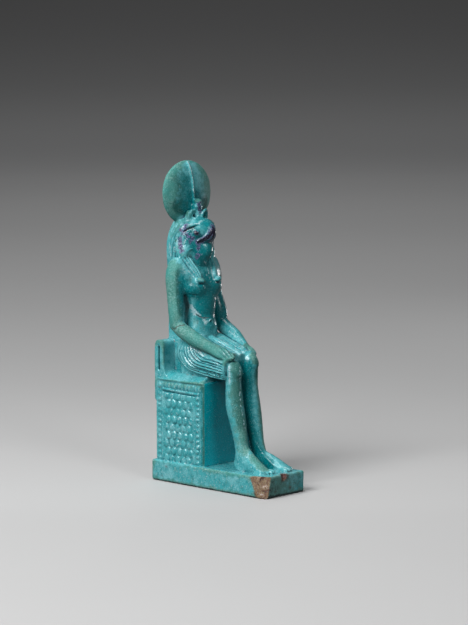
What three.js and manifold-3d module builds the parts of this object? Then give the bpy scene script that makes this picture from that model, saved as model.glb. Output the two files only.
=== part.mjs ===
// A small glazed statuette of a falcon-headed figure that sits on a block throne, made in one piece.
// Units are millimetres, +Z is up, the figure faces -Y, and the origin is the middle of the base's
// underside.
import * as THREE from "three";
import { mergeVertices } from "three/addons/utils/BufferGeometryUtils.js";
import Module from "manifold-3d";

const wasm = await Module();
wasm.setup();

// Driving dimensions
const HEIGHT = 120;
const BASE = { width: 21.5, length: 57.5, height: 7.9, edge: 0.7 };
const THRONE = { width: 19.4, front: 2.35, back: 27.05, seat: 38.8 };
const BACKREST = { thickness: 3.6, top: 53.2, clothThickness: 1.0, clothEnd: 30 };
const SLIT = { depth: 1.2, width: 1.1, behind: 0.6 };
const CUSHION_RISE = 2.6;
const PILLAR = { width: 7, back: 26.8, top: 80 };
const DISC = { radius: 12, y: 20.4, frontBulge: 3.8, backBulge: 2.4, rim: 0.3, fullness: 0.75 };
const SIDES = [-1, 1];

// The relief on the throne's sides: a field of scales in a frame of two borders and a band
const PANEL = {
  bandTop: 37.9,
  bandBottom: 34.4,
  frontRib: 7.4,
  backRib: 23.9,
  ribWidth: 0.7,
  ribRise: 0.35,
  columns: 6,
  rows: 9,
  beads: 7,
};

// Turns a closed geometry into a solid, with its faces out
function solidOf(geometry) {
  const bare = geometry.clone();
  bare.deleteAttribute("normal");
  bare.deleteAttribute("uv");
  const merged = mergeVertices(bare, 1e-3);
  const position = merged.attributes.position;
  const triangles = [];
  for (let i = 0; i < merged.index.count; i += 3) {
    const [a, b, c] = [0, 1, 2].map((k) => merged.index.getX(i + k));
    if (a === b || b === c || a === c) continue;
    triangles.push(a, b, c);
  }
  const build = (triVerts) =>
    new wasm.Manifold(
      new wasm.Mesh({
        numProp: 3,
        vertProperties: new Float32Array(position.array),
        triVerts: new Uint32Array(triVerts),
      }),
    );
  const made = build(triangles);
  if (made.volume() > 0) return made;
  for (let i = 0; i < triangles.length; i += 3) {
    [triangles[i], triangles[i + 1]] = [triangles[i + 1], triangles[i]];
  }
  return build(triangles);
}

const joined = (solids) => solids.reduce((whole, piece) => whole.add(piece));

// A value between listed ones, on a smooth curve, with t from 0 to 1 along the list
function smoothValue(values, t) {
  if (!Array.isArray(values)) return values;
  const curve = new THREE.SplineCurve(values.map((v, i) => new THREE.Vector2(i, v)));
  return Math.max(curve.getPoint(t).y, 0.05);
}

// A closed limb along a smooth path. wide is the half-width along the reference direction "across",
// deep is the half-depth at right angles to it, square is 2 for an ellipse and more for a boxier
// section, and ridge(angle, t) swells the surface, as pleats and locks of hair do.
function limb({
  path,
  wide,
  deep,
  across = [1, 0, 0],
  square = 2,
  ridge = () => 1,
  steps = 8,
  sides = 12,
}) {
  const curve = new THREE.CatmullRomCurve3(path.map((p) => new THREE.Vector3(...p)));
  const geometry = new THREE.CylinderGeometry(1, 1, 1, sides, steps);
  const position = geometry.attributes.position;
  const reference = new THREE.Vector3(...across);
  const bent = (s) => Math.sign(s) * Math.abs(s) ** (2 / square);
  for (let i = 0; i < position.count; i += 1) {
    const t = THREE.MathUtils.clamp(0.5 - position.getY(i), 0, 1);
    const spread = Math.hypot(position.getX(i), position.getZ(i));
    const angle = Math.atan2(position.getZ(i), position.getX(i));
    const tangent = curve.getTangent(t);
    const sideways = reference.clone().addScaledVector(tangent, -reference.dot(tangent)).normalize();
    const depthways = new THREE.Vector3().crossVectors(tangent, sideways);
    const swell = spread * ridge(angle, t);
    const point = curve
      .getPoint(t)
      .addScaledVector(sideways, swell * smoothValue(wide, t) * bent(Math.cos(angle)))
      .addScaledVector(depthways, swell * smoothValue(deep ?? wide, t) * bent(Math.sin(angle)));
    position.setXYZ(i, point.x, point.y, point.z);
  }
  return solidOf(geometry);
}

// An ellipsoid from its middle, its three half-sizes and its turn about X
function ellipsoid(middle, halves, turn = 0, around = 10, up = 7) {
  const geometry = new THREE.SphereGeometry(1, around, up)
    .scale(...halves)
    .rotateX(turn)
    .translate(...middle);
  return solidOf(geometry);
}

function block(low, high) {
  const size = high.map((h, i) => h - low[i]);
  const middle = high.map((h, i) => (h + low[i]) / 2);
  return solidOf(new THREE.BoxGeometry(...size).translate(...middle));
}

// An outline in the Y-Z plane, drawn out along X between -half and +half
function slab(outline, half) {
  const geometry = new THREE.ExtrudeGeometry(outline, {
    depth: 2 * half,
    bevelEnabled: false,
    curveSegments: 5,
  });
  geometry.applyMatrix4(new THREE.Matrix4().set(0, 0, 1, -half, 1, 0, 0, 0, 0, 1, 0, 0, 0, 0, 0, 1));
  return solidOf(geometry);
}

const mirrored = (side, points) => points.map(([x, y, z]) => [side * x, y, z]);

// Base with softened edges, its right front corner broken off and its front edge chipped
function base() {
  const { width, length, height, edge } = BASE;
  const half = { x: width / 2 - edge, y: length / 2 - edge };
  const outline = new THREE.Shape([
    new THREE.Vector2(-half.x, -half.y),
    new THREE.Vector2(half.x, -half.y),
    new THREE.Vector2(half.x, half.y),
    new THREE.Vector2(-half.x, half.y),
  ]);
  const geometry = new THREE.ExtrudeGeometry(outline, {
    depth: height - 2 * edge,
    bevelThickness: edge,
    bevelSize: edge,
    bevelSegments: 2,
  }).translate(0, 0, edge);
  const corner = { top: [4.6, 7.2], bottom: [1.3, 2.3] };
  const broken = cornerWedge(corner.top, corner.bottom);
  const nick = ellipsoid([-0.6, -length / 2 - 0.6, height + 0.3], [1.5, 1.7, 2.2], 0.3, 7, 5);
  return solidOf(geometry).subtract(broken).subtract(nick);
}

// The broken corner's wedge: how far the break runs along X and Y, at the top and at the bottom
function cornerWedge([topX, topY], [bottomX, bottomY]) {
  const { width, length, height } = BASE;
  const past = 3;
  const wedge = new THREE.CylinderGeometry(1, 1, 1, 3, 1);
  const position = wedge.attributes.position;
  const grown = (run, other) => run * (1 + past / other);
  for (let i = 0; i < position.count; i += 1) {
    const atTop = position.getY(i) > 0;
    const [runX, runY] = atTop ? [topX, topY] : [bottomX, bottomY];
    const spread = Math.hypot(position.getX(i), position.getZ(i));
    const turn = Math.atan2(position.getX(i), position.getZ(i)) / (2 * Math.PI);
    const corner = Math.round(3 * turn + 3) % 3;
    const reach = [
      [-past, -past],
      [grown(runX, runY), -past],
      [-past, grown(runY, runX)],
    ];
    const middle = [0, 1].map((k) => reach.reduce((sum, r) => sum + r[k] / 3, 0));
    const [dx, dy] = spread > 0.5 ? reach[corner] : middle;
    position.setXYZ(i, -width / 2 + dx, -length / 2 + dy, atTop ? height + 0.5 : -0.5);
  }
  return solidOf(wedge);
}

// Throne: the block, the low rounded backrest with a slit in each side, the cloth that hangs behind
// it and the domed seat
function throne() {
  const { width, front, back, seat } = THRONE;
  const { thickness, top, clothThickness, clothEnd } = BACKREST;
  const foot = BASE.height - 1;
  const restFront = back - thickness;
  const outline = new THREE.Shape();
  outline.moveTo(front, foot);
  outline.lineTo(back, foot);
  outline.lineTo(back, clothEnd);
  outline.lineTo(back + clothThickness, clothEnd + 0.6);
  outline.lineTo(back + clothThickness, top - 2.4);
  outline.quadraticCurveTo(back + clothThickness, top, back - 1.6, top);
  outline.quadraticCurveTo(restFront, top, restFront, top - 2.2);
  outline.lineTo(restFront, seat + 4.5);
  outline.quadraticCurveTo(restFront - 0.2, seat + 0.6, restFront - 3.2, seat);
  outline.lineTo(front, seat);
  outline.closePath();
  const body = slab(outline, width / 2);
  const cushion = limb({
    path: [
      [0, front + 0.05, seat - 1],
      [0, restFront + 0.5, seat - 1],
    ],
    wide: width / 2 - 0.05,
    deep: CUSHION_RISE + 1,
    square: 3.2,
    steps: 1,
    sides: 20,
  });
  const slits = SIDES.map((side) => {
    const [inner, outer] = [side * (width / 2 - SLIT.depth), side * (width / 2 + 1)];
    return block(
      [Math.min(inner, outer), back - SLIT.behind - SLIT.width, seat + 3.2],
      [Math.max(inner, outer), back - SLIT.behind, top - 2.4],
    );
  });
  const carved = slits.reduce((whole, slit) => whole.subtract(slit), body.add(cushion));
  return joined([carved, ...SIDES.flatMap(sidePanel)]);
}

// The relief of one side of the throne: ribs of the frame, rows of scales, and beads in the band
function sidePanel(side) {
  const { bandTop, bandBottom, frontRib, backRib, ribWidth, ribRise, columns, rows, beads } = PANEL;
  const face = (side * THRONE.width) / 2;
  const inner = face - side * 0.5;
  const outer = face + side * ribRise;
  const [lowX, highX] = [Math.min(inner, outer), Math.max(inner, outer)];
  const floor = BASE.height - 0.2;
  const ribs = [
    block([lowX, THRONE.front + 0.3, bandTop], [highX, THRONE.back - 0.3, bandTop + ribWidth]),
    block([lowX, frontRib - 3.2, bandBottom - ribWidth], [highX, backRib + 2, bandBottom]),
    block([lowX, THRONE.front + 0.3, floor], [highX, THRONE.front + 1, bandTop + ribWidth]),
    block([lowX, frontRib - ribWidth, floor], [highX, frontRib, bandBottom - 0.3]),
    block([lowX, backRib, floor], [highX, backRib + ribWidth, bandBottom - 0.3]),
  ];
  const pitch = {
    y: (backRib - frontRib) / columns,
    z: (bandBottom - ribWidth - BASE.height - 0.5) / rows,
  };
  const scales = [];
  for (let row = 0; row < rows; row += 1) {
    const shift = row % 2 ? 0.5 : 0;
    for (let column = 0; column < columns - shift * 2; column += 1) {
      const y = frontRib + (column + 0.5 + shift) * pitch.y;
      const z = bandBottom - ribWidth - (row + 0.5) * pitch.z;
      scales.push(drop([face, y, z], pitch, 0.45));
    }
  }
  const beadPitch = (backRib - frontRib + 3) / beads;
  for (let i = 0; i < beads; i += 1) {
    const y = frontRib - 1.5 + (i + 0.5) * beadPitch;
    scales.push(drop([face, y, (bandTop + bandBottom) / 2], { y: beadPitch * 0.8, z: 2.6 }, 0.35));
  }
  return joined([...ribs, ...scales]);
}

// One scale: a low drop, wider below than above
function drop([x, y, z], pitch, rise) {
  const geometry = new THREE.OctahedronGeometry(1);
  const position = geometry.attributes.position;
  for (let i = 0; i < position.count; i += 1) {
    const aside = position.getY(i);
    const up = position.getZ(i) - 0.25 * Math.abs(aside);
    position.setXYZ(
      i,
      x + rise * position.getX(i),
      y + 0.47 * pitch.y * aside,
      z + 0.48 * pitch.z * up,
    );
  }
  return solidOf(geometry);
}

// Torso with its full chest, narrow waist and round belly, and the narrow pillar behind it
function torso() {
  const trunk = limb({
    path: [
      [0, 15.2, 40],
      [0, 14.8, 46],
      [0, 14.2, 52],
      [0, 13.3, 57],
      [0, 12.5, 61.5],
      [0, 12.2, 66.5],
      [0, 13, 71.5],
      [0, 14.4, 76],
      [0, 15.8, 79.8],
      [0, 17, 83.4],
    ],
    wide: [6.4, 7.6, 7.8, 6.8, 6.4, 5.7, 6.9, 8.3, 8.6, 5],
    deep: [5, 5.6, 5.8, 5.6, 5.5, 4.5, 4.7, 5, 4.4, 2.6],
    steps: 10,
    sides: 14,
  });
  const chest = SIDES.map((side) => ellipsoid([side * 4, 9.9, 73.4], [3.6, 3.5, 3.1], 0.2, 8, 6));
  const neck = limb({
    path: [
      [0, 15, 78],
      [0, 13.9, 83],
      [0, 13, 88],
    ],
    wide: [7, 4.8, 4.4],
    deep: [4, 4, 4.2],
    steps: 3,
    sides: 10,
  });
  const navel = ellipsoid([0, 6.7, 60.6], [0.7, 0.8, 0.6], 0, 5, 4);
  const pillar = block([-PILLAR.width / 2, 14, THRONE.seat], [PILLAR.width / 2, PILLAR.back, PILLAR.top]);
  return joined([trunk, neck, pillar, ...chest]).subtract(navel);
}

// Arms: each hangs from the shoulder, bends at the elbow and lies along the thigh. A thin web of
// the same stuff fills the gap between the arm and the trunk.
function arm(side) {
  const upper = limb({
    path: mirrored(side, [
      [5, 17, 82.4],
      [8, 17, 81.6],
      [9.7, 16.9, 77.6],
      [10.4, 16.2, 70],
      [10.9, 14.6, 62.6],
      [10.9, 13.4, 58.4],
    ]),
    wide: [2, 3.2, 3.6, 3, 2.9, 2.3],
    across: [1, 0, 0.4],
    steps: 9,
    sides: 10,
  });
  const lower = limb({
    path: mirrored(side, [
      [11, 15, 60.6],
      [10.6, 11.4, 58.4],
      [9.3, 4.8, 54.8],
      [7.6, -1.2, 51.6],
      [6.8, -3.6, 50.8],
    ]),
    wide: [1.9, 3, 2.6, 2.1, 2],
    deep: [1.9, 2.8, 2.5, 1.8, 1.6],
    steps: 6,
    sides: 9,
  });
  const [webLow, webHigh] = side < 0 ? [-10.5, -5] : [5, 10.5];
  const web = block([webLow, 16.4, 58], [webHigh, 18.4, 80]);
  const hand = limb({
    path: mirrored(side, [
      [7.2, -2.4, 51],
      [6.2, -5, 50.9],
      [5.6, -7, 50.4],
    ]),
    wide: [1.7, 2.7, 2.7],
    deep: [1.4, 1.5, 1.3],
    steps: 3,
    sides: 8,
  });
  const fingers = [0, 1, 2, 3].map((i) => {
    const x = 7.4 - 1.3 * i;
    return limb({
      path: mirrored(side, [
        [x, -6, 50.7],
        [x - 0.15, -8.4, 50.1],
        [x - 0.2, -9.9, 48.3],
      ]),
      wide: [0.75, 0.85, 0.55],
      steps: 2,
      sides: 5,
    });
  });
  const thumb = limb({
    path: mirrored(side, [
      [5.2, -3, 51.2],
      [3.6, -5.2, 50.8],
      [2.9, -7, 50.2],
    ]),
    wide: [0.8, 0.9, 0.5],
    steps: 2,
    sides: 5,
  });
  return joined([upper, lower, web, hand, thumb, ...fingers]);
}

// Kilt over the lap: each thigh is pleated lengthwise, and a flap lies between them
function kilt() {
  const pleats = (angle) => 1 + 0.03 * Math.cos(11 * angle);
  const thighs = SIDES.map((side) =>
    limb({
      path: mirrored(side, [
        [4.6, 17.4, 50.8],
        [4.7, 16, 49.6],
        [4.7, 11.4, 47.4],
        [4.7, 4, 46.2],
        [4.6, -3, 45.9],
        [4.5, -5.9, 46],
      ]),
      wide: [2.6, 4.2, 4.6, 4.4, 4.1, 4],
      deep: [3.4, 6.2, 6.4, 5.3, 4.5, 4.3],
      ridge: pleats,
      steps: 6,
      sides: 22,
    }),
  );
  const flap = limb({
    path: [
      [0, 14, 48],
      [0, 8, 47.3],
      [0, 0, 46.2],
      [0, -5.6, 45.4],
    ],
    wide: [4, 4, 3.6, 3.2],
    deep: [7, 7, 4.8, 4.2],
    steps: 3,
    sides: 10,
  });
  const belt = limb({
    path: [
      [0, 13.9, 55.2],
      [0, 13.3, 57.6],
    ],
    wide: [7.6, 7.1],
    deep: [6.2, 6],
    steps: 1,
    sides: 18,
  });
  const underside = block([-7, 3, THRONE.seat - 1], [7, 16.6, 43.4]);
  return joined([...thighs, flap, belt, underside]);
}

// The web of glazed body left between the two legs, set back from their fronts
function webBetweenLegs() {
  return limb({
    path: [
      [0, -6.8, 45],
      [0, -7.2, 31],
      [0, -9.4, 22],
      [0, -11.4, 15],
      [0, -12.2, 7],
    ],
    wide: 3.9,
    deep: [1.5, 1.4, 1.2, 1.1, 1.4],
    square: 5,
    steps: 4,
    sides: 8,
  });
}

// Lower leg and foot, on the base. The left foot stands a little forward.
function leg(side) {
  const forward = side > 0 ? 1.5 : 0;
  const out = side > 0 ? 0.6 : 0;
  const shin = limb({
    path: mirrored(side, [
      [4.5, -4.4, 47.6],
      [4.5, -6.9, 47],
      [4.5, -7.9, 44],
      [4.5, -7.9, 38],
      [4.5, -8, 31],
      [4.4, -10, 23],
      [4.3, -12, 16],
      [4.3, -12.6, 11],
      [4.3, -12.7, 8],
    ]),
    wide: [2.5, 3, 2.9, 2.6, 2.9, 2.4, 2, 2.1, 2.3],
    deep: [2.6, 3.2, 2.9, 3, 3.5, 2.9, 2.4, 2.7, 3],
    steps: 8,
    sides: 9,
  });
  const foot = limb({
    path: mirrored(side, [
      [4.2, -9.6, 8.9],
      [4.3, -12 - forward / 3, 9.7],
      [4.4 + out / 2, -16.5 - forward, 9.4],
      [4.6 + out, -20.7 - forward, 8.6],
      [4.8 + out, -23.6 - forward, 8.2],
    ]),
    wide: [1.5, 2.2, 2.4, 3, 3],
    deep: [1.8, 3.2, 3, 1.9, 1.3],
    steps: 4,
    sides: 8,
  });
  const toes = [0, 1, 2, 3, 4].map((i) => {
    const radius = 1.05 - 0.1 * i;
    const middle = [-23.9, -24.1, -23.5, -22.7, -21.7][i] - forward;
    const aside = side * (2.4 + out + 1.25 * i);
    return ellipsoid([aside, middle, 8.5], [radius * 0.72, 1.9, radius], 0, 5, 4);
  });
  return joined([shin, foot, ...toes]);
}

// Head: the wig with its locks, the two front lappets, the falcon's face and its hooked beak
function head() {
  const locks = (angle, t) => 1 + 0.02 * Math.cos(12 * angle) * Math.sin(Math.PI * t);
  const wig = limb({
    path: [
      [0, 20.4, 76.4],
      [0, 20, 79.5],
      [0, 19.3, 84],
      [0, 18.4, 89],
      [0, 17.4, 93.4],
      [0, 16.6, 96.4],
      [0, 16.2, 98.5],
    ],
    wide: [6.6, 7.8, 8.2, 8.2, 7.5, 5.8, 1.6],
    deep: [5.2, 6.4, 7.4, 8.2, 8.2, 6.8, 2],
    ridge: locks,
    steps: 7,
    sides: 24,
  });
  const lappets = SIDES.map((side) =>
    limb({
      path: mirrored(side, [
        [6.9, 14.4, 88],
        [6.5, 12, 83.5],
        [5.3, 10, 79.6],
        [4.6, 8.9, 76.2],
      ]),
      wide: [2, 2.7, 2.6, 2.3],
      deep: [1.8, 1.8, 1.6, 1.5],
      ridge: (angle) => 1 + 0.04 * Math.cos(6 * angle),
      steps: 4,
      sides: 12,
    }),
  );
  const face = ellipsoid([0, 13.2, 91.7], [5.9, 5.7, 5.9], 0, 10, 7);
  const cheeks = SIDES.map((side) => ellipsoid([side * 2.9, 10.7, 90.1], [2.4, 2.3, 2.4], 0, 8, 5));
  const brows = SIDES.map((side) =>
    limb({
      path: mirrored(side, [
        [5.9, 13.6, 95],
        [4.4, 10.4, 95.9],
        [1.7, 9.4, 96.2],
      ]),
      wide: [0.5, 0.9, 0.4],
      steps: 3,
      sides: 5,
    }),
  );
  const eyes = SIDES.map((side) => ellipsoid([side * 4.1, 9.7, 93.5], [1, 1.1, 0.9], 0, 6, 5));
  const beak = limb({
    path: [
      [0, 11.4, 93.8],
      [0, 8.4, 94.7],
      [0, 6.9, 93.8],
      [0, 6.7, 92.2],
      [0, 7.3, 91],
    ],
    wide: [3.2, 2.4, 1.5, 0.8, 0.3],
    deep: [3.2, 2, 1.3, 0.8, 0.3],
    steps: 6,
    sides: 8,
  });
  return joined([wig, ...lappets, face, ...cheeks, ...brows, ...eyes, beak]);
}

// Crown: the sun disc, a lens that stands on edge, the cobra before it and the ridge of its tail
function crown() {
  const { radius, y, frontBulge, backBulge, rim, fullness } = DISC;
  const middle = HEIGHT - radius;
  const bulge = (share, height) => height * (1 - share * share) ** fullness;
  const count = 4;
  const profile = [];
  for (let i = 0; i <= count; i += 1) {
    const share = Math.sin((Math.PI / 2) * (i / count));
    profile.push(new THREE.Vector2(radius * share, -rim - bulge(share, frontBulge - rim)));
  }
  for (let i = count; i >= 0; i -= 1) {
    const share = Math.sin((Math.PI / 2) * (i / count));
    profile.push(new THREE.Vector2(radius * share, rim + bulge(share, backBulge - rim)));
  }
  const disc = solidOf(new THREE.LatheGeometry(profile, 26).translate(0, y, 0))
    .translate([0, 0, middle]);
  const tailPath = [0, 0.25, 0.5, 0.75, 0.96].map((share) => [
    -1.7 * share * share,
    y - rim - bulge(share, frontBulge - rim) + 0.1,
    middle + radius * share,
  ]);
  const tail = limb({
    path: [[0, y - frontBulge + 0.1, middle - 4], ...tailPath],
    wide: 0.45,
    steps: 5,
    sides: 4,
  });
  const hood = ellipsoid([0, 14.3, 102.4], [1.7, 1.2, 3], 0.1, 7, 6);
  const cobraHead = ellipsoid([0, 13.9, 105.3], [1.2, 1.7, 0.9], 0.2, 7, 5);
  const stem = block([-1.1, 14.4, 96.5], [1.1, 18.2, 103.4]);
  const coils = SIDES.map((side) =>
    limb({
      path: mirrored(side, [
        [0.6, 14.6, 99.8],
        [2.2, 14.2, 101.2],
        [3.9, 14.4, 100.9],
        [4.4, 14.9, 99.2],
        [3.6, 15.2, 97.2],
      ]),
      wide: 0.95,
      across: [0, 1, 0],
      steps: 5,
      sides: 5,
    }),
  );
  return joined([disc, tail, hood, cobraHead, stem, ...coils]);
}

const geometryOf = (solid) => {
  const mesh = solid.getMesh();
  const positions = new Float32Array(mesh.numVert * 3);
  for (let i = 0; i < mesh.numVert; i += 1) {
    positions.set(mesh.vertProperties.subarray(i * mesh.numProp, i * mesh.numProp + 3), i * 3);
  }
  return new THREE.BufferGeometry()
    .setAttribute("position", new THREE.BufferAttribute(positions, 3))
    .setIndex(new THREE.BufferAttribute(mesh.triVerts, 1));
};

const middles = [base(), throne(), torso(), kilt(), head(), crown(), webBetweenLegs()];
const pieces = [...middles, ...SIDES.map(arm), ...SIDES.map(leg)];
const faience = new THREE.MeshStandardMaterial({ color: 0x3fa39c, roughness: 0.35, metalness: 0 });
const statuette = new THREE.Mesh(geometryOf(joined(pieces)), faience);
statuette.name = "statuette";

const group = new THREE.Group();
group.add(statuette);

export default group;
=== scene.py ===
"""The looks of a small statuette of blue-green glazed faience: a falcon-headed figure with a sun
disc, seated on a block throne. It is worked as one lump of clay on a fine grid, in millimetres, and
glazed afterwards. +Z is up, the figure faces -Y, and its right side is at -X."""
import math

import bpy
import numpy as np
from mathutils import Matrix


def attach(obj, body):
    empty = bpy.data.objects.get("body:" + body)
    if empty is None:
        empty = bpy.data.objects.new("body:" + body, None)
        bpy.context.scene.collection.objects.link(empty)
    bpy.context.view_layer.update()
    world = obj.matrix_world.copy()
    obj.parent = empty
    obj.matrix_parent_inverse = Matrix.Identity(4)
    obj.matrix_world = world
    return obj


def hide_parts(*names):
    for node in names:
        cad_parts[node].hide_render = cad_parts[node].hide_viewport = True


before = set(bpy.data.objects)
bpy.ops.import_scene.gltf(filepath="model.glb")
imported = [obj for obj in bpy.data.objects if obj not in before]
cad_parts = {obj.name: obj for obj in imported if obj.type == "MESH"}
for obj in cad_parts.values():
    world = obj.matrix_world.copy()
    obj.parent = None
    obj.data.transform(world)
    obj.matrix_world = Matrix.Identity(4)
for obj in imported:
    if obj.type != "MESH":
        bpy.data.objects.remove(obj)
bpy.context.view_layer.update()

import openvdb
from mathutils import Matrix, Vector

MM = 0.001
SIDES = (-1, 1)

# The grid that the clay is worked on
STEP = 0.25
BAND = 2.5
LOW = np.array((-16.0, -31.0, -2.0))
HIGH = np.array((16.0, 31.0, 122.0))
COUNT = tuple(int(n) for n in np.ceil((HIGH - LOW) / STEP) + 1)
TRIANGLES = 190000

# Sizes of the base, the throne and the disc
BASE = {"half": (10.75, 28.75, 3.95), "edge": 0.75}
THRONE = {"half": 9.7, "front": 2.35, "back": 27.05, "seat": 38.8, "edge": 0.35}
DISC = {"middle": (0, 20.4, 108), "radius": 12.0, "front": 3.8, "back": 2.4, "rim": 0.3,
        "spread": 1.05, "fullness": 0.75}

# The way that the main view looks, along which marks are laid on the clay
VIEW = (0.7288, 0.675, -0.1149)

TINY, HUGE = 1e-9, 1e9


# Forms

def along(values, share):
    """Listed values joined by a smooth curve; share runs from 0 to 1 along the list."""
    values = np.asarray(values, float)
    share = np.clip(share, 0, 1)
    if values.ndim == 0:
        return np.full(np.shape(share), float(values))
    last = len(values) - 1
    held = np.concatenate([2 * values[:1] - values[1:2], values, 2 * values[-1:] - values[-2:-1]])
    place = share * last
    i = np.minimum(place.astype(int), last - 1)
    f = place - i
    if values.ndim > 1:
        f = f[..., None]
    a, b, c, d = held[i], held[i + 1], held[i + 2], held[i + 3]
    return b + 0.5 * f * (c - a + f * (2 * a - 5 * b + 4 * c - d + f * (3 * (b - c) + d - a)))


def drawn(values, count=24):
    """The smooth curve through listed values, as so many values with even shares."""
    return along(values, np.linspace(0, 1, count))


def unit(vectors):
    return vectors / np.maximum(np.linalg.norm(vectors, axis=-1, keepdims=True), TINY)


def bent(value, square):
    """A sine or cosine, bent so that the section it draws is boxier than an ellipse."""
    return np.sign(value) * np.abs(value) ** (2 / square)


class Limb:
    """A smooth path with an oval section: half-width wide along the direction across, half-depth
    deep at right angles to it. square is 2 for an ellipse and more for a boxier section."""

    def __init__(self, path, wide, deep=None, across=(1, 0, 0), square=2.0, tips=(0.9, 0.9)):
        self.path, self.wide, self.deep = path, wide, wide if deep is None else deep
        self.across, self.square, self.tips = np.array(across, float), square, tips

    def frame(self, share):
        """The path's point at each share, its heading, and the section's two directions."""
        centre = along(self.path, share)
        small = 0.004
        heading = unit(along(self.path, share + small) - along(self.path, share - small))
        sideways = unit(self.across - (heading @ self.across)[..., None] * heading)
        return centre, heading, sideways, np.cross(heading, sideways)

    def skin(self, share, angle, swell=1.0):
        """Points on the surface, at shares of the path and angles round it."""
        centre, _, sideways, depthways = self.frame(share)
        wide, deep = along(self.wide, share) * swell, along(self.deep, share) * swell
        return (
            centre
            + sideways * (wide * bent(np.cos(angle), self.square))[..., None]
            + depthways * (deep * bent(np.sin(angle), self.square))[..., None]
        )

    def form(self, rings=30, around=36, tip_rings=6):
        """The closed surface, with rounded tips."""
        share = np.linspace(0, 1, rings)
        centre, heading, sideways, depthways = self.frame(share)
        wide, deep = along(self.wide, share), along(self.deep, share)
        reach = np.linspace(0, 1, tip_rings + 1)[1:]
        rows = []
        for end, sign, tip in ((0, -1, self.tips[0]), (-1, 1, self.tips[1])):
            bulge = tip * min(wide[end], deep[end])
            rows.append([
                (centre[end] + sign * heading[end] * bulge * r, sideways[end], depthways[end],
                 wide[end] * math.sqrt(1 - r * r), deep[end] * math.sqrt(1 - r * r))
                for r in reach
            ])
        middle = list(zip(centre, sideways, depthways, wide, deep))
        all_rings = rows[0][::-1] + middle + rows[1]
        c, s, d = (np.array([r[k] for r in all_rings])[:, None, :] for k in range(3))
        w, h = (np.array([r[k] for r in all_rings])[:, None, None] for k in (3, 4))
        angle = np.linspace(0, 2 * math.pi, around, endpoint=False)
        across, down = bent(np.cos(angle), self.square), bent(np.sin(angle), self.square)
        points = c + s * w * across[None, :, None] + d * h * down[None, :, None]
        return points.reshape(-1, 3), ring_faces(len(all_rings), around)


def ring_faces(rings, around):
    """Faces that join rings of points, each ring to the next."""
    i, j = np.meshgrid(np.arange(rings - 1), np.arange(around), indexing="ij")
    k = (j + 1) % around
    corners = (i * around + j, i * around + k, (i + 1) * around + k, (i + 1) * around + j)
    return np.stack(corners, -1).reshape(-1, 4)


def mirrored(side, points):
    """Points as they are, where side is 1, or mirrored to the other side, where it is -1."""
    points = np.array(points, float)
    points[..., 0] *= side
    return points


def ball(middle, halves, turn=(0, 0, 0), rings=17, around=24):
    """An ellipsoid with three half-sizes, turned in degrees about X, Y and Z."""
    up = np.linspace(0, math.pi, rings)[:, None]
    angle = np.linspace(0, 2 * math.pi, around, endpoint=False)[None]
    points = np.stack([
        np.sin(up) * np.cos(angle), np.sin(up) * np.sin(angle), np.cos(up) + 0 * angle,
    ], -1).reshape(-1, 3) * halves
    turned = Matrix.Identity(3)
    for axis, degrees in zip("XYZ", turn):
        turned = Matrix.Rotation(math.radians(degrees), 3, axis) @ turned
    return points @ np.array(turned).T + middle, ring_faces(rings, around)


def lens(middle, radius, front, back, rim, spread, fullness, rings=24, around=96):
    """A disc that stands on edge, a little wider than high, swelling to the front and the back."""
    share = np.sin(np.linspace(0, math.pi / 2, rings))
    swell = (1 - share ** 2) ** fullness
    reach = np.concatenate([share, share[::-1]]) * radius
    depth = np.concatenate([-rim - swell * (front - rim), (rim + swell * (back - rim))[::-1]])
    angle = np.linspace(0, 2 * math.pi, around, endpoint=False)[None]
    points = np.stack([
        reach[:, None] * np.cos(angle) * spread,
        depth[:, None] + 0 * angle,
        reach[:, None] * np.sin(angle),
    ], -1).reshape(-1, 3)
    return points + middle, ring_faces(len(reach), around)


# Repeated relief, by node trees

class Nodes:
    """Nodes that are added to a tree and wired up, one call each."""

    def __init__(self, tree):
        self.nodes, self.links = tree.nodes, tree.links

    def add(self, kind, links=None, **settings):
        node = self.nodes.new(kind)
        for label, value in settings.items():
            setattr(node, label, value)
        for socket, source in (links or {}).items():
            if hasattr(source, "is_linked"):
                self.links.new(source, node.inputs[socket])
            else:
                node.inputs[socket].default_value = source
        return node

    def worked(self, operation, first, second=0.0):
        return self.add("ShaderNodeMath", {0: first, 1: second}, operation=operation).outputs[0]

    def plus(self, first, *rest):
        return self.worked("ADD", first, self.plus(*rest) if len(rest) > 1 else rest[0])

    def minus(self, first, second):
        return self.worked("SUBTRACT", first, second)

    def times(self, first, second):
        return self.worked("MULTIPLY", first, second)

    def scaled(self, vector, amount):
        links = {0: vector, "Scale": amount}
        return self.add("ShaderNodeVectorMath", links, operation="SCALE").outputs[0]


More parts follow.
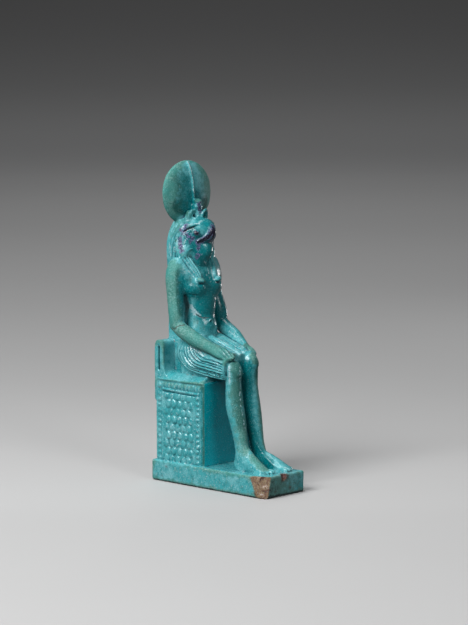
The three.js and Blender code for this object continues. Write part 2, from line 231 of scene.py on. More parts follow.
class Tree(Nodes):
    """A node tree that makes relief: named inputs, and an output that is one plain mesh."""

    def __init__(self, name, inputs):
        self.tree = bpy.data.node_groups.new(name, "GeometryNodeTree")
        super().__init__(self.tree)
        face = self.tree.interface
        face.new_socket("Geometry", in_out="INPUT", socket_type="NodeSocketGeometry")
        for label, kind, value in inputs:
            socket = face.new_socket(label, in_out="INPUT", socket_type=kind)
            if value is not None:
                socket.default_value = value
        face.new_socket("Material", in_out="INPUT", socket_type="NodeSocketMaterial")
        face.new_socket("Geometry", in_out="OUTPUT", socket_type="NodeSocketGeometry")
        self.given = self.nodes.new("NodeGroupInput")

    def value(self, label):
        return self.given.outputs[label]

    def random(self, low, high, seed):
        return self.add("FunctionNodeRandomValue", {2: low, 3: high, "Seed": seed},
                        data_type="FLOAT").outputs[1]

    def vector(self, x=0.0, y=0.0, z=0.0):
        return self.add("ShaderNodeCombineXYZ", {0: x, 1: y, 2: z}).outputs[0]

    def finish(self, geometry):
        whole = self.add("GeometryNodeRealizeInstances", {"Geometry": geometry}).outputs[0]
        dressed = self.add("GeometryNodeSetMaterial",
                           {"Geometry": whole, "Material": self.value("Material")}).outputs[0]
        self.add("NodeGroupOutput", {"Geometry": dressed})
        return self.tree


def ridge_tree():
    """Rounded ridges along drawn lines, as thick as each point's thickness says."""
    t = Tree("ridges_on_lines", [("Facets", "NodeSocketInt", 8), ("Girth", "NodeSocketFloat", 1.0)])
    line = t.add("GeometryNodeMeshToCurve", {"Mesh": t.value("Geometry")}).outputs[0]
    circle = t.add("GeometryNodeCurvePrimitiveCircle",
                   {"Resolution": t.value("Facets"), "Radius": t.value("Girth")}).outputs[0]
    thickness = t.add("GeometryNodeInputNamedAttribute", {"Name": "thickness"}, data_type="FLOAT")
    swept = t.add("GeometryNodeCurveToMesh", {
        "Curve": line, "Profile Curve": circle, "Scale": thickness.outputs[0], "Fill Caps": True,
    }).outputs[0]
    return t.finish(swept)


def field_tree():
    """Rows of rounded drops or beads on a plane, with every second row moved aside."""
    number = "NodeSocketFloat"
    t = Tree("field_of_drops", [
        ("Columns", "NodeSocketInt", 6), ("Rows", "NodeSocketInt", 9),
        ("Column Pitch", number, 2.4), ("Row Pitch", number, 2.8), ("Stagger", number, 0.5),
        ("Half Width", number, 1.0), ("Half Height", number, 1.2), ("Rise", number, 0.5),
        ("Fullness", number, 0.6), ("Narrowing", number, 0.3), ("Unevenness", number, 0.1),
        ("Seed", "NodeSocketInt", 3),
    ])
    uneven, seed = t.value("Unevenness"), t.value("Seed")
    across = t.times(t.value("Column Pitch"), t.minus(t.value("Columns"), 1.0))
    upward = t.times(t.value("Row Pitch"), t.minus(t.value("Rows"), 1.0))
    grid = t.add("GeometryNodeMeshGrid", {
        "Size X": across, "Size Y": upward,
        "Vertices X": t.value("Columns"), "Vertices Y": t.value("Rows"),
    }).outputs[0]
    place = t.add("ShaderNodeSeparateXYZ", {0: t.add("GeometryNodeInputPosition").outputs[0]})
    from_foot = t.plus(place.outputs["Y"], t.times(upward, 0.5))
    row = t.worked("ROUND", t.worked("DIVIDE", from_foot, t.value("Row Pitch")))
    odd = t.minus(t.worked("MODULO", row, 2.0), 0.5)
    aside = t.times(t.times(odd, t.value("Stagger")), t.value("Column Pitch"))
    wander = t.add("FunctionNodeRandomValue", {
        "Min": (-0.5, -0.5, 0.0), "Max": (0.5, 0.5, 0.0), "Seed": seed,
    }, data_type="FLOAT_VECTOR").outputs[0]
    offset = t.add("ShaderNodeVectorMath", {0: t.vector(aside), 1: t.scaled(wander, uneven)},
                   operation="ADD")
    points = t.add("GeometryNodeSetPosition", {"Geometry": grid, "Offset": offset.outputs[0]})
    size = t.random(t.minus(1.0, uneven), t.plus(1.0, t.times(uneven, 0.4)), t.plus(seed, 7.0))
    tilt = t.random(t.times(uneven, -1.2), t.times(uneven, 1.2), t.plus(seed, 13.0))
    placed = t.add("GeometryNodeInstanceOnPoints", {
        "Points": points.outputs[0], "Instance": drop_shape(t),
        "Rotation": t.vector(0.0, 0.0, tilt), "Scale": size,
    }).outputs[0]
    return t.finish(placed)


def drop_shape(t):
    """One drop, from a sphere: narrower towards its top, and flattened on its face."""
    sphere = t.add("GeometryNodeMeshUVSphere", {"Segments": 14, "Rings": 9, "Radius": 1.0})
    shape = t.add("ShaderNodeSeparateXYZ", {0: t.add("GeometryNodeInputPosition").outputs[0]})
    slim = t.times(t.value("Narrowing"), t.plus(shape.outputs["Y"], 1.0))
    width = t.times(t.value("Half Width"), t.minus(1.0, slim))
    flattened = t.worked("POWER", t.worked("ABSOLUTE", shape.outputs["Z"]), t.value("Fullness"))
    height = t.times(t.worked("SIGN", shape.outputs["Z"]), flattened)
    return t.add("GeometryNodeSetPosition", {
        "Geometry": sphere.outputs[0],
        "Position": t.vector(t.times(shape.outputs["X"], width),
                             t.times(shape.outputs["Y"], t.value("Half Height")),
                             t.times(height, t.value("Rise"))),
    }).outputs[0]


def shown(name, data):
    """A new object in the scene."""
    made = bpy.data.objects.new(name, data)
    bpy.context.scene.collection.objects.link(made)
    return made


def applied(worked, modifier):
    """The plain mesh that a modifier makes of an object, which isn't kept."""
    bpy.context.view_layer.update()
    graph = bpy.context.evaluated_depsgraph_get()
    mesh = bpy.data.meshes.new_from_object(worked.evaluated_get(graph))
    worked.modifiers.remove(modifier)
    bpy.data.objects.remove(worked)
    return mesh


def relief(tree, source, **values):
    """Runs a tree on a source mesh and gives the points and faces of what it makes."""
    worked = shown("relief", source)
    modifier = worked.modifiers.new("relief", "NODES")
    modifier.node_group = tree
    names = {s.name: s.identifier for s in tree.interface.items_tree if s.in_out == "INPUT"}
    for label, value in values.items():
        modifier[names[label.replace("_", " ")]] = value
    modifier[names["Material"]] = faience
    mesh = applied(worked, modifier)
    mesh.calc_loop_triangles()
    points = np.empty(len(mesh.vertices) * 3, np.float32)
    mesh.vertices.foreach_get("co", points)
    faces = np.empty(len(mesh.loop_triangles) * 3, np.int32)
    mesh.loop_triangles.foreach_get("vertices", faces)
    bpy.data.meshes.remove(mesh)
    return points.reshape(-1, 3).astype(float), faces.reshape(-1, 3)


def ridges(lines, facets=8):
    """Ridges along lines, each given as its points and their thickness."""
    points, edges, thick = [], [], []
    for line, thickness in lines:
        line = np.asarray(line, float)
        first = len(points)
        points += [tuple(p) for p in line]
        edges += [(first + i, first + i + 1) for i in range(len(line) - 1)]
        thick += list(drawn(thickness, len(line)))
    mesh = bpy.data.meshes.new("lines")
    mesh.from_pydata(points, edges, [])
    mesh.attributes.new("thickness", "FLOAT", "POINT").data.foreach_set("value", thick)
    return relief(RIDGES, mesh, Facets=facets)


def field(origin, right, up, **values):
    """A field of drops laid on a plane: origin is its middle, right and up are its directions."""
    points, faces = relief(DROPS, bpy.data.meshes.new("field"), **values)
    out = np.cross(right, up)
    return points @ np.array([right, up, out], float) + origin, faces


# Clay

class Clay:
    """A lump of clay as signed distances on a grid: less than nothing is inside."""

    def __init__(self):
        self.depth = np.full(COUNT, BAND, np.float32)

    def near(self, low, high):
        """The part of the grid round a box, and its first point."""
        first = np.clip(np.floor((np.asarray(low) - BAND - LOW) / STEP).astype(int), 0, None)
        last = np.minimum(np.ceil((np.asarray(high) + BAND - LOW) / STEP).astype(int) + 1, COUNT)
        return tuple(slice(a, b) for a, b in zip(first, last)), first

    def measured(self, form):
        """Signed distances to a closed form, in the part of the grid round it."""
        points, faces = form
        window, first = self.near(points.min(0), points.max(0))
        kind = "quads" if faces.shape[1] == 4 else "triangles"
        made = openvdb.FloatGrid.createLevelSetFromPolygons(
            np.ascontiguousarray(points - LOW, np.float32),
            **{kind: np.ascontiguousarray(faces, np.uint32)},
            transform=openvdb.createLinearTransform(voxelSize=STEP), halfWidth=BAND / STEP)
        values = np.empty([s.stop - s.start for s in window], np.float32)
        made.copyToArray(values, ijk=tuple(int(f) for f in first))
        return window, values

    def placed(self, form):
        """A form's window and distances, measured unless they are there already."""
        return form if isinstance(form[0], tuple) else self.measured(form)

    def add(self, form, melt=0.3):
        window, values = self.placed(form)
        self.depth[window] = melted(self.depth[window], values, melt)

    def cut(self, form, melt=0.3):
        window, values = self.placed(form)
        self.depth[window] = -melted(-self.depth[window], values, melt)


def melted(a, b, melt):
    """Two bodies of clay joined, with a fillet where they meet."""
    both = np.minimum(a, b)
    if melt <= 0:
        return both
    near = np.clip(melt - np.abs(a - b), 0, None) / melt
    out_of_reach = BAND * 0.99
    near[np.maximum(a, b) >= out_of_reach] = 0
    return both - near * near * (melt / 4)


def grid_points(window):
    """The three coordinates of a window's grid points, ready to be combined."""
    return [
        (LOW[k] + np.arange(s.start, s.stop) * STEP).reshape([-1 if a == k else 1 for a in range(3)])
        for k, s in enumerate(window)
    ]


def block(clay, low, high, edge):
    """A box with softened edges."""
    low, high = np.array(low, float), np.array(high, float)
    window, _ = clay.near(low, high)
    outside, inside = 0, -np.inf
    for axis, place in enumerate(grid_points(window)):
        d = np.abs(place - (low[axis] + high[axis]) / 2) - (high[axis] - low[axis]) / 2 + edge
        outside = outside + np.clip(d, 0, None) ** 2
        inside = np.maximum(inside, d)
    depth = np.sqrt(outside) + np.minimum(inside, 0) - edge
    return window, np.clip(depth, -BAND, BAND).astype(np.float32)


def slab(clay, outline, half, edge, middle=0.0):
    """An outline in the Y-Z plane, drawn out along X to both sides, with softened edges."""
    outline = np.array(outline, float)
    low = (middle - half, *outline.min(0))
    high = (middle + half, *outline.max(0))
    window, _ = clay.near(low, high)
    x, y, z = grid_points(window)
    py, pz = np.broadcast_arrays(y, z)
    nearest, inside = np.full(py.shape, HUGE), np.zeros(py.shape, bool)
    for a, b in zip(outline, np.roll(outline, -1, 0)):
        run = b - a
        t = np.clip(((py - a[0]) * run[0] + (pz - a[1]) * run[1]) / max(run @ run, TINY), 0, 1)
        nearest = np.minimum(nearest, np.hypot(py - a[0] - t * run[0], pz - a[1] - t * run[1]))
        crosses = (a[1] > pz) != (b[1] > pz)
        slope = run[0] / (run[1] if abs(run[1]) > TINY else TINY)
        inside ^= crosses & (py < a[0] + (pz - a[1]) * slope)
    flat = np.where(inside, -nearest, nearest) + edge
    side = np.abs(x - middle) - half + edge
    depth = np.hypot(np.clip(flat, 0, None), np.clip(side, 0, None))
    depth = depth + np.minimum(np.maximum(flat, side), 0) - edge
    return window, np.clip(depth, -BAND, BAND).astype(np.float32)


def softened(values, spread, step=STEP):
    """Values blurred over that many millimetres."""
    reach = max(1, int(round(2.5 * spread / step)))
    kernel = np.exp(-0.5 * (np.arange(-reach, reach + 1) * step / spread) ** 2)
    kernel = (kernel / kernel.sum()).astype(np.float32)
    for axis in range(3):
        size = values.shape[axis]
        padded = np.pad(values, [(reach, reach) if a == axis else (0, 0) for a in range(3)], "edge")
        total = np.zeros_like(values)
        for k, share in enumerate(kernel):
            part = [slice(None)] * 3
            part[axis] = slice(k, k + size)
            total += share * padded[tuple(part)]
        values = total
    return values


def sampled(values, points, step=STEP):
    """Grid values at points, from the eight grid points round each."""
    place = np.clip((points - LOW) / step, 0, np.array(values.shape) - 1.001)
    i = place.astype(int)
    f = place - i
    total = np.zeros(len(points))
    for corner in np.ndindex(2, 2, 2):
        share = np.prod(np.where(corner, f, 1 - f), axis=1)
        total += share * values[tuple((i + corner).T)]
    return total


def grain(pitch, seed, strength=2.2):
    """Smooth random values about nothing for the whole grid, one swell in every pitch."""
    dice = np.random.default_rng(seed)
    weights = []
    for size in COUNT:
        spot = np.arange(size) * STEP / pitch
        count = int((size - 1) * STEP / pitch) + 4
        away = np.abs(spot[:, None] - (np.arange(count)[None] - 1))
        near = np.where(away < 1, 2 / 3 - away ** 2 + away ** 3 / 2,
                        np.where(away < 2, (2 - away) ** 3 / 6, 0))
        weights.append(near.astype(np.float32))
    values = dice.standard_normal([w.shape[1] for w in weights]).astype(np.float32)
    for axis in (2, 1, 0):
        values = np.tensordot(weights[axis], values, (1, 2))
    return values * strength


def settled(clay, points, direction, steps=60, pace=0.8):
    """Points moved along a direction until they touch the clay."""
    points = np.array(points, float)
    direction = unit(np.array(direction, float))
    for _ in range(steps):
        points += direction * (pace * sampled(clay.depth, points))[:, None]
    return points


# Material

def tone(red, green, blue):
    """A colour as seen, from 0 to 255 a channel, as a shader takes it."""
    linear = [((c / 255 + 0.055) / 1.055) ** 2.4 if c > 10 else c / 3294 for c in (red, green, blue)]
    return (*linear, 1.0)


GLAZE, LIGHT_GLAZE, BLUE_GLAZE = tone(64, 162, 168), tone(106, 180, 186), tone(46, 146, 154)
# The pale specks also serve as painted glints
PALE_GLAZE, SPECK_AND_GLINT = tone(148, 204, 208), tone(172, 206, 206)
# Colours of thick glaze that also serve as painted shade; the last is for the throne's front, in the
# shade of the thighs
POOL_AND_SHADE, CLEAR_POOL_AND_SHADE, DEEPEST_POOL_AND_SHADE = tone(0, 106, 112), tone(0, 128, 134), tone(0, 168, 182)
DULL, PALE_DULL, GREEN_DULL = tone(60, 126, 118), tone(106, 157, 150), tone(64, 140, 134)
# The first darkens rubbed glaze and the second the crevices, each partly for thick glaze and partly as
# painted shade
DARK_DULL, CREVICE_POOL_AND_SHADE = tone(38, 98, 92), tone(0, 78, 92)
# Dirt colours, also used for the darker base front and, at their darkest, for a painted contact shadow
# along the bottom edge
DIRT_AND_SHADE, DARK_DIRT_AND_SHADE = tone(84, 134, 128), tone(40, 62, 60)
AUBERGINE, PALE_AUBERGINE, DARK_AUBERGINE = tone(22, 26, 58), tone(128, 130, 176), tone(32, 26, 48)
# Whitish deposit, which also serves for painted highlights and glints
POWDER_AND_HIGHLIGHT = tone(156, 192, 198)
BODY, RED_BODY, DARK_BODY = tone(138, 118, 90), tone(106, 78, 64), tone(76, 48, 40)
DARK_STAIN, BROWN_STAIN = tone(44, 26, 28), tone(96, 56, 50)
PAPER, WHITE_PAPER = (0.98, 0.98, 0.98, 1), (1, 1, 1, 1)


class Finish(Nodes):
    """A procedural finish, made node by node."""

    def __init__(self, name):
        self.material = bpy.data.materials.new(name)
        self.material.use_nodes = True
        super().__init__(self.material.node_tree)
        self.shader = self.nodes["Principled BSDF"]
        self.place = self.nodes.new("ShaderNodeTexCoord").outputs["Object"]

    def feed(self, socket, source):
        self.links.new(source, self.shader.inputs[socket])

    def noise(self, size, detail=4.0, rough=0.55):
        """Cloudy noise with swells of about that many millimetres."""
        return self.add("ShaderNodeTexNoise", {
            "Vector": self.place, "Scale": 1 / (size * MM), "Detail": detail, "Roughness": rough,
        }).outputs["Fac"]

    def ramp(self, value, low, high, from_value=0.0, to_value=1.0):
        return self.add("ShaderNodeMapRange", {
            0: value, 1: low, 2: high, 3: from_value, 4: to_value,
        }, interpolation_type="SMOOTHSTEP").outputs[0]

    def larger(self, first, second):
        return self.worked("MAXIMUM", first, second)

    def swung(self, value, amount):
        """A value about a half, turned into one about nothing that reaches as far as amount says."""
        return self.times(self.minus(value, 0.5), amount)

    def mixed(self, share, first, second):
        node = self.add("ShaderNodeMix", {0: share, 6: first, 7: second}, data_type="RGBA")
        return node.outputs[2]

    def attribute(self, name):
        return self.add("ShaderNodeAttribute", attribute_name=name).outputs["Fac"]


class Glaze(Finish):
    """The faience finish: the marks that are painted on the points, and clouds of four sizes."""

    def __init__(self, name):
        super().__init__(name)
        # deep marks both thick glaze and painted shade, and hollow marks the crevices, which are darkened
        # partly as painted shade too
        self.hollow, self.deep, self.worn = (self.attribute(n) for n in ("hollow", "deep", "worn"))
        self.violet, self.bloom_and_highlight = self.attribute("violet"), self.attribute("bloom_and_highlight")
        self.core, self.stain = self.attribute("core"), self.attribute("stain")
        self.base_dark_and_shadow = self.attribute("base_dark_and_shadow")
        self.broad, self.middling = self.noise(8.0), self.noise(2.2)
        self.small, self.speck = self.noise(0.7, 6.0, 0.6), self.noise(0.3, 3.0, 0.7)
        self.patch = self.plus(self.worn, self.swung(self.middling, 1.0), self.swung(self.small, 0.35))
        # The crevices, darkened partly for glaze that gathers there and partly as painted shade
        self.crevice = self.plus(self.hollow, self.swung(self.small, 0.35))
        # Whitish deposit, and the painted highlights and glints laid with it
        self.powder_and_highlight = self.ramp(self.plus(self.bloom_and_highlight, self.swung(self.small, 1.5)), 0.5, 0.8)


def clear_glaze(f):
    """Glossy glaze: clouded turquoise, and deeper where the glaze gathers thick and where painted shade
    falls, most saturated on the throne's front.
    """
    glaze = f.mixed(f.ramp(f.broad, 0.35, 0.65), GLAZE, LIGHT_GLAZE)
    glaze = f.mixed(f.ramp(f.middling, 0.42, 0.66), glaze, BLUE_GLAZE)
    pale = f.plus(f.small, f.swung(f.middling, 0.7))
    glaze = f.mixed(f.ramp(pale, 0.58, 0.8), glaze, PALE_GLAZE)
    # Darker where the glaze gathers thick, and as painted shade where shade falls
    pooling_and_shade = f.plus(f.deep, f.swung(f.middling, 0.4))
    pool_and_shade = f.mixed(f.ramp(f.small, 0.35, 0.65), POOL_AND_SHADE, CLEAR_POOL_AND_SHADE)
    colour = f.mixed(f.ramp(pooling_and_shade, 0.1, 0.6), glaze, pool_and_shade)
    return f.mixed(f.ramp(f.deep, 0.93, 0.99), colour, DEEPEST_POOL_AND_SHADE)


def rubbed_and_shaded_over(f, colour):
    """Matt, greyer glaze where it is rubbed, darker where the glaze is thick and where painted shade
    falls, and darker again in the crevices, partly as glaze that gathers there and partly as painted
    shade.
    """
    dull = f.mixed(f.ramp(f.small, 0.36, 0.64), DULL, PALE_DULL)
    dull = f.mixed(f.ramp(f.broad, 0.4, 0.66), dull, GREEN_DULL)
    dull = f.mixed(f.ramp(f.deep, 0.12, 0.42), dull, DARK_DULL)
    colour = f.mixed(f.ramp(f.patch, 0.3, 0.72), colour, dull)
    return f.mixed(f.ramp(f.crevice, 0.2, 0.9), colour, CREVICE_POOL_AND_SHADE)


def soiled_shaded_and_highlighted_over(f, colour):
    """Dirt in random patches, a darker base front, a painted contact shadow along the base's bottom edge,
    the aubergine stains, and over them a whitish deposit with painted highlights and glints.
    """
    # Random dirt, the darker base front, and a painted contact shadow along the bottom edge
    dirt_and_shade = f.plus(f.base_dark_and_shadow, f.swung(f.small, 0.8), f.swung(f.middling, 1.1))
    colour = f.mixed(f.ramp(dirt_and_shade, 0.15, 0.6), colour, DIRT_AND_SHADE)
    colour = f.mixed(f.ramp(dirt_and_shade, 0.6, 1.0), colour, DARK_DIRT_AND_SHADE)
    stained = f.plus(f.violet, f.swung(f.small, 2.0), f.swung(f.speck, 1.8))
    purple = f.mixed(f.ramp(f.speck, 0.48, 0.6), AUBERGINE, PALE_AUBERGINE)
    purple = f.mixed(f.ramp(f.violet, 0.75, 0.95), purple, DARK_AUBERGINE)
    colour = f.mixed(f.ramp(stained, 0.42, 0.7), colour, purple)
    return f.mixed(f.powder_and_highlight, colour, POWDER_AND_HIGHLIGHT)


def broken_over(f, colour):
    """Bare body in the breaks, brown pits and cracks, pale specks that also serve as painted glints, and
    a fine grit over it all.
    """
    body = f.mixed(f.ramp(f.small, 0.35, 0.65), BODY, RED_BODY)
    body = f.mixed(f.ramp(f.middling, 0.55, 0.64), body, DARK_BODY)
    colour = f.mixed(f.core, colour, body)
    brown = f.mixed(f.ramp(f.small, 0.42, 0.58), DARK_STAIN, BROWN_STAIN)
    colour = f.mixed(f.stain, colour, brown)
    colour = f.mixed(f.ramp(f.speck, 0.62, 0.72), colour, SPECK_AND_GLINT)
    return f.scaled(colour, f.ramp(f.speck, 0.3, 0.64, 0.74, 1.16))


def glaze_roughness(f):
    """Smooth where the glaze is whole or wet-looking, rough where it is rubbed, bare or powdery."""
    rough = f.plus(f.ramp(f.patch, 0.1, 0.7, 0.2, 0.62), f.swung(f.small, 0.24))
    rough = f.minus(rough, f.ramp(f.crevice, 0.2, 0.8, 0.0, 0.12))
    bare = f.larger(f.larger(f.core, f.stain), f.times(f.base_dark_and_shadow, 0.6))
    return f.larger(f.larger(rough, f.times(bare, 0.85)), f.times(f.powder_and_highlight, 0.6))


def glaze_bumps(f):
    """The fine unevenness and pits of the glaze."""
    pits = f.add("ShaderNodeTexVoronoi", {"Vector": f.place, "Scale": 1 / (1.3 * MM)})
    pit = f.ramp(pits.outputs["Distance"], 0.0, 0.14)
    height = f.plus(f.times(f.small, 0.7), f.times(pit, 0.25))
    height = f.plus(height, f.times(f.speck, 0.35))
    bump = f.add("ShaderNodeBump", {"Height": height, "Strength": 0.75, "Distance": 0.12 * MM})
    return bump.outputs[0]


def make_faience():
    f = Glaze("faience_glaze")
    f.feed("Base Color", broken_over(f, soiled_shaded_and_highlighted_over(f, rubbed_and_shaded_over(f, clear_glaze(f)))))
    f.feed("Roughness", glaze_roughness(f))
    f.feed("Normal", glaze_bumps(f))
    f.feed("Coat Weight", f.ramp(f.patch, 0.2, 0.6, 0.35, 0.0))
    f.feed("Specular IOR Level", f.ramp(f.patch, 0.3, 0.8, 0.5, 0.2))
    f.shader.inputs["IOR"].default_value = 1.5
    f.shader.inputs["Coat Roughness"].default_value = 0.08
    return f.material


def make_paper():
    f = Finish("pale_paper")
    # The paper's colour is scaled row by row by a painted falloff: painted shade, darkest up the wall
    f.feed("Base Color", f.scaled(f.mixed(f.noise(60.0), PAPER, WHITE_PAPER), f.attribute("painted_falloff")))
    f.shader.inputs["Roughness"].default_value = 0.7
    f.shader.inputs["Specular IOR Level"].default_value = 0.2
    return f.material


# The statuette

def add_base(clay):
    x, y, z = BASE["half"]
    clay.add(block(clay, (-x, -y, 0), (x, y, 2 * z), BASE["edge"]), 0)


def rounding(first, corner, last):
    """Points of a rounded corner, from first to last."""
    first, corner, last = np.array(first), np.array(corner), np.array(last)
    return [(1 - t) ** 2 * first + 2 * t * (1 - t) * corner + t * t * last
            for t in np.linspace(0, 1, 9)]


def add_throne(clay):
    """The block with its low back and curved seat, and the groove on each side of the back."""
    front, back, seat = THRONE["front"], THRONE["back"], THRONE["seat"]
    rest, top = back - 3.6, 53.2
    outline = [(front, 5), (back, 5), (back, 30), (back + 1, 30.6), (back + 1, top - 2.4)]
    outline += rounding((back + 1, top - 2.4), (back + 1, top), (back - 1.4, top))
    outline += rounding((back - 1.4, top), (rest, top), (rest, top - 2.2))
    outline += rounding((rest, seat + 6), (rest - 0.1, seat + 0.8), (rest - 4, seat))
    outline += [(front, seat)]
    clay.add(slab(clay, outline, THRONE["half"], THRONE["edge"]), 0.5)
    cushion = Limb([(0, front + 0.8, seat - 1.2), (0, 14, seat - 1), (0, rest + 0.5, seat - 0.6)],
                   THRONE["half"] - 0.2, 3.5, square=3.4, tips=(0.1, 0.1))
    clay.add(cushion.form(), 0.5)
    for side in SIDES:
        x = side * THRONE["half"]
        low, high = sorted((x - side * 1.2, x + side * 2))
        clay.cut(block(clay, (low, back - 1.75, seat + 3), (high, back - 0.85, 50.8), 0.4), 0.3)


def add_side_panel(clay, side):
    """The relief on one side of the throne: a field of scales in a frame of beaded borders."""
    x = side * (THRONE["half"] - 0.02)
    right, up = (0, side, 0), (0, 0, 1)
    scales = field((x, 15.4, 20.9), right, up, Columns=5, Rows=9, Column_Pitch=2.9,
                   Row_Pitch=2.96, Stagger=0.34, Half_Width=1.3, Half_Height=1.55, Rise=0.5,
                   Fullness=0.2, Narrowing=0.16, Unevenness=0.2, Seed=5)
    clay.add(scales, 0.05)
    for y, seed, rise in ((5.6, 11, 0.5), (25.2, 12, 0.4)):
        beads = field((x, y, 20.9), right, up, Columns=1, Rows=13, Column_Pitch=1.0,
                      Row_Pitch=2.0, Stagger=0.0, Half_Width=0.85, Half_Height=0.74, Rise=rise,
                      Fullness=0.35, Narrowing=0.0, Unevenness=0.26, Seed=seed)
        clay.add(beads, 0.1)
    top = field((x, 15.1, 36.45), right, up, Columns=13, Rows=1, Column_Pitch=1.72,
                Row_Pitch=1.0, Stagger=0.0, Half_Width=0.66, Half_Height=1.2, Rise=0.5,
                Fullness=0.35, Narrowing=0.05, Unevenness=0.24, Seed=21)
    clay.add(top, 0.1)
    line = lambda thickness, *points: (drawn(points), thickness)
    frame_lines = [
        line(0.36, (x, 7.7, 8.6), (x, 7.7, 33.8)),
        line(0.4, (x, 23.7, 8.6), (x, 23.7, 34.4)),
        line(0.36, (x, 3.9, 8.6), (x, 3.9, 37.8)),
        line(0.5, (x, 5.0, 34.5), (x, 24.2, 35.0)),
        line(0.4, (x, 2.6, 38.7), (x, 14, 38.6), (x, 26.4, 38.6)),
        line(0.36, (x, 26.5, 8.6), (x, 26.5, 38.4)),
    ]
    clay.add(ridges(frame_lines), 0.12)
    inset = x + side * 0.12
    grooves = [
        line(0.32, (inset, 7.0, 33.75), (inset, 23.6, 34.1)),
        line(0.26, (inset, 3.2, 37.9), (inset, 24.8, 37.9)),
        line(0.24, (inset, 27.15, 30.8), (inset, 27.15, 43)),
    ]
    clay.cut(ridges(grooves), 0.08)


# The trunk from the seat to the shoulders, with its half-widths and half-depths
TRUNK = Limb(
    [(0, 15.2, 40), (0, 14.8, 46), (0, 14.2, 52), (0, 13.4, 57), (0, 13.2, 61.5), (0, 12.5, 66.5),
     (0, 13, 71.5), (0, 14.4, 76), (0, 15.8, 79.8), (0, 17, 83.4)],
    [6.4, 7.6, 7.6, 7.0, 5.8, 5.6, 7.3, 8.5, 8.6, 5],
    [5, 5.6, 5.8, 5.7, 4.8, 4.5, 4.9, 5, 4.4, 2.6])


def add_torso(clay):
    clay.add(TRUNK.form(40, 48), 0.6)
    clay.add(ball((0, 11.2, 59), (4.4, 3.9, 3.4)), 2.2)
    for side in SIDES:
        clay.add(ball((side * 4.1, 11.5, 73.4), (4.3, 3.4, 3.5)), 1.6)
        clay.add(ball((side * 7.4, 14.4, 77), (3.4, 2.5, 5.2)), 2.0)
    clay.add(block(clay, (-3.5, 14, 38), (3.5, 26.8, 80), 0.5), 0.6)


def add_kilt(clay):
    for side in SIDES:
        thigh = Limb(
            mirrored(side, [(4.8, 17.2, 52), (4.8, 15.6, 51), (4.8, 11.4, 49.3), (4.8, 8, 48.2),
                            (4.8, 4, 47.3), (4.7, -2, 46.1), (4.5, -6.5, 45.3)]),
            [2.6, 4.3, 4.8, 4.8, 4.7, 4.4, 4.2], [3.6, 6.2, 7.0, 7.0, 6.5, 5.8, 5.1], square=2.3,
            tips=(0.8, 0.14))
        clay.add(thigh.form(40, 48), 0.5)
    flap = Limb([(0, 14, 49), (0, 8, 48.4), (0, 0, 46.8), (0, -6.2, 45.4)], [4.4, 4.2, 3.8, 3.2],
                [7.4, 7.2, 5.8, 4.9], tips=(0.8, 0.2))
    clay.add(flap.form(), 0.8)
    clay.add(block(clay, (-7, 3, 37.8), (7, 16.6, 43.4), 0.8), 0.8)


# Where two of the pleats run on each thigh, from the hip to the hem, in Y and Z
OUTER_PLEAT = [(16.0, 52.2), (15.7, 48.4), (13.9, 45.2), (10.6, 43.4), (3.0, 42.1), (-2, 41.5),
               (-6.2, 41.1)]
INNER_PLEAT = [(10.8, 52.6), (9.6, 50.2), (8.0, 48.4), (5.6, 47.2), (0.5, 46.5), (-3, 46.0),
               (-6.2, 45.5)]

# How far each pleat lies from the outer one, as a share of the way to the inner one, and its thickness
PLEAT_PLACES = [(0.0, 0.5), (0.2, 0.44), (0.42, 0.56), (0.66, 0.5), (0.93, 0.56), (1.2, 0.46),
                (1.46, 0.5), (1.72, 0.42)]


def add_pleats(clay):
    """The pleats of the kilt, the folds of its apron, and then its hem and belt."""
    count = 60
    share = np.linspace(0, 1, count)
    outer, inner = along(OUTER_PLEAT, share), along(INNER_PLEAT, share)
    taper = np.interp(share, [0, 0.15, 0.9, 1], [0.6, 1, 0.95, 0.75])
    raised, sunk = [], []
    for side in SIDES:
        laid = lambda place: settled(
            clay,
            np.column_stack([np.full(count, side * 12.5), outer + (inner - outer) * place[:, None]]),
            (-side, 0, -0.26 * place[0]))
        for k, (place, thick) in enumerate(PLEAT_PLACES):
            wave = 0.03 * np.sin(5 * share + 2.3 * k) * (1 - share)
            swell = 1 + 0.12 * np.sin(4 * share * (k % 3 + 1) + k)
            raised.append((laid(place + wave), thick * swell * taper))
            if k:
                between = (place + PLEAT_PLACES[k - 1][0]) / 2
                sunk.append((laid(between + wave) + [side * 0.1, 0, 0], 0.32 * swell * taper))
    count = 50
    for x, thick in ((-2.1, 0.36), (0.3, 0.3), (2.8, 0.36), (4.0, 0.3)):
        start = np.column_stack([
            x * np.linspace(1.0, 0.72, count), np.linspace(5.6, -6.2, count), np.full(count, 60.0)])
        line = settled(clay, start, (0, 0, -1))
        raised.append((line - [0, 0, 0.1], [0.7 * thick, thick, 1.1 * thick, thick, 0.8 * thick]))
        sunk.append((line + [0.55, 0, 0.12], [0.1, 0.24, 0.24, 0.2]))
    clay.add(ridges(raised), 0.15)
    clay.cut(ridges(sunk), 0.08)
    clay.add(ridges(kilt_bands()), 0.2)


def kilt_bands():
    """The hem round each knee, and the belt's two edges."""
    angle = np.linspace(0, 2 * math.pi, 60)
    turn = np.linspace(math.radians(-190), math.radians(10), 80)
    hems = [
        (np.column_stack([side * 4.5 + 4.2 * bent(np.cos(angle), 2.3), np.full(60, -6.6),
                          45.3 + 5.1 * bent(np.sin(angle), 2.3)]), 0.5)
        for side in SIDES
    ]
    belt = [
        (np.column_stack([(6.9 + grow) * np.cos(turn), 13.5 + (5.5 + grow) * np.sin(turn),
                          np.full(80, z)]), 0.42)
        for z, grow in ((55.9, 0.0), (54.9, 0.15))
    ]
    return hems + belt


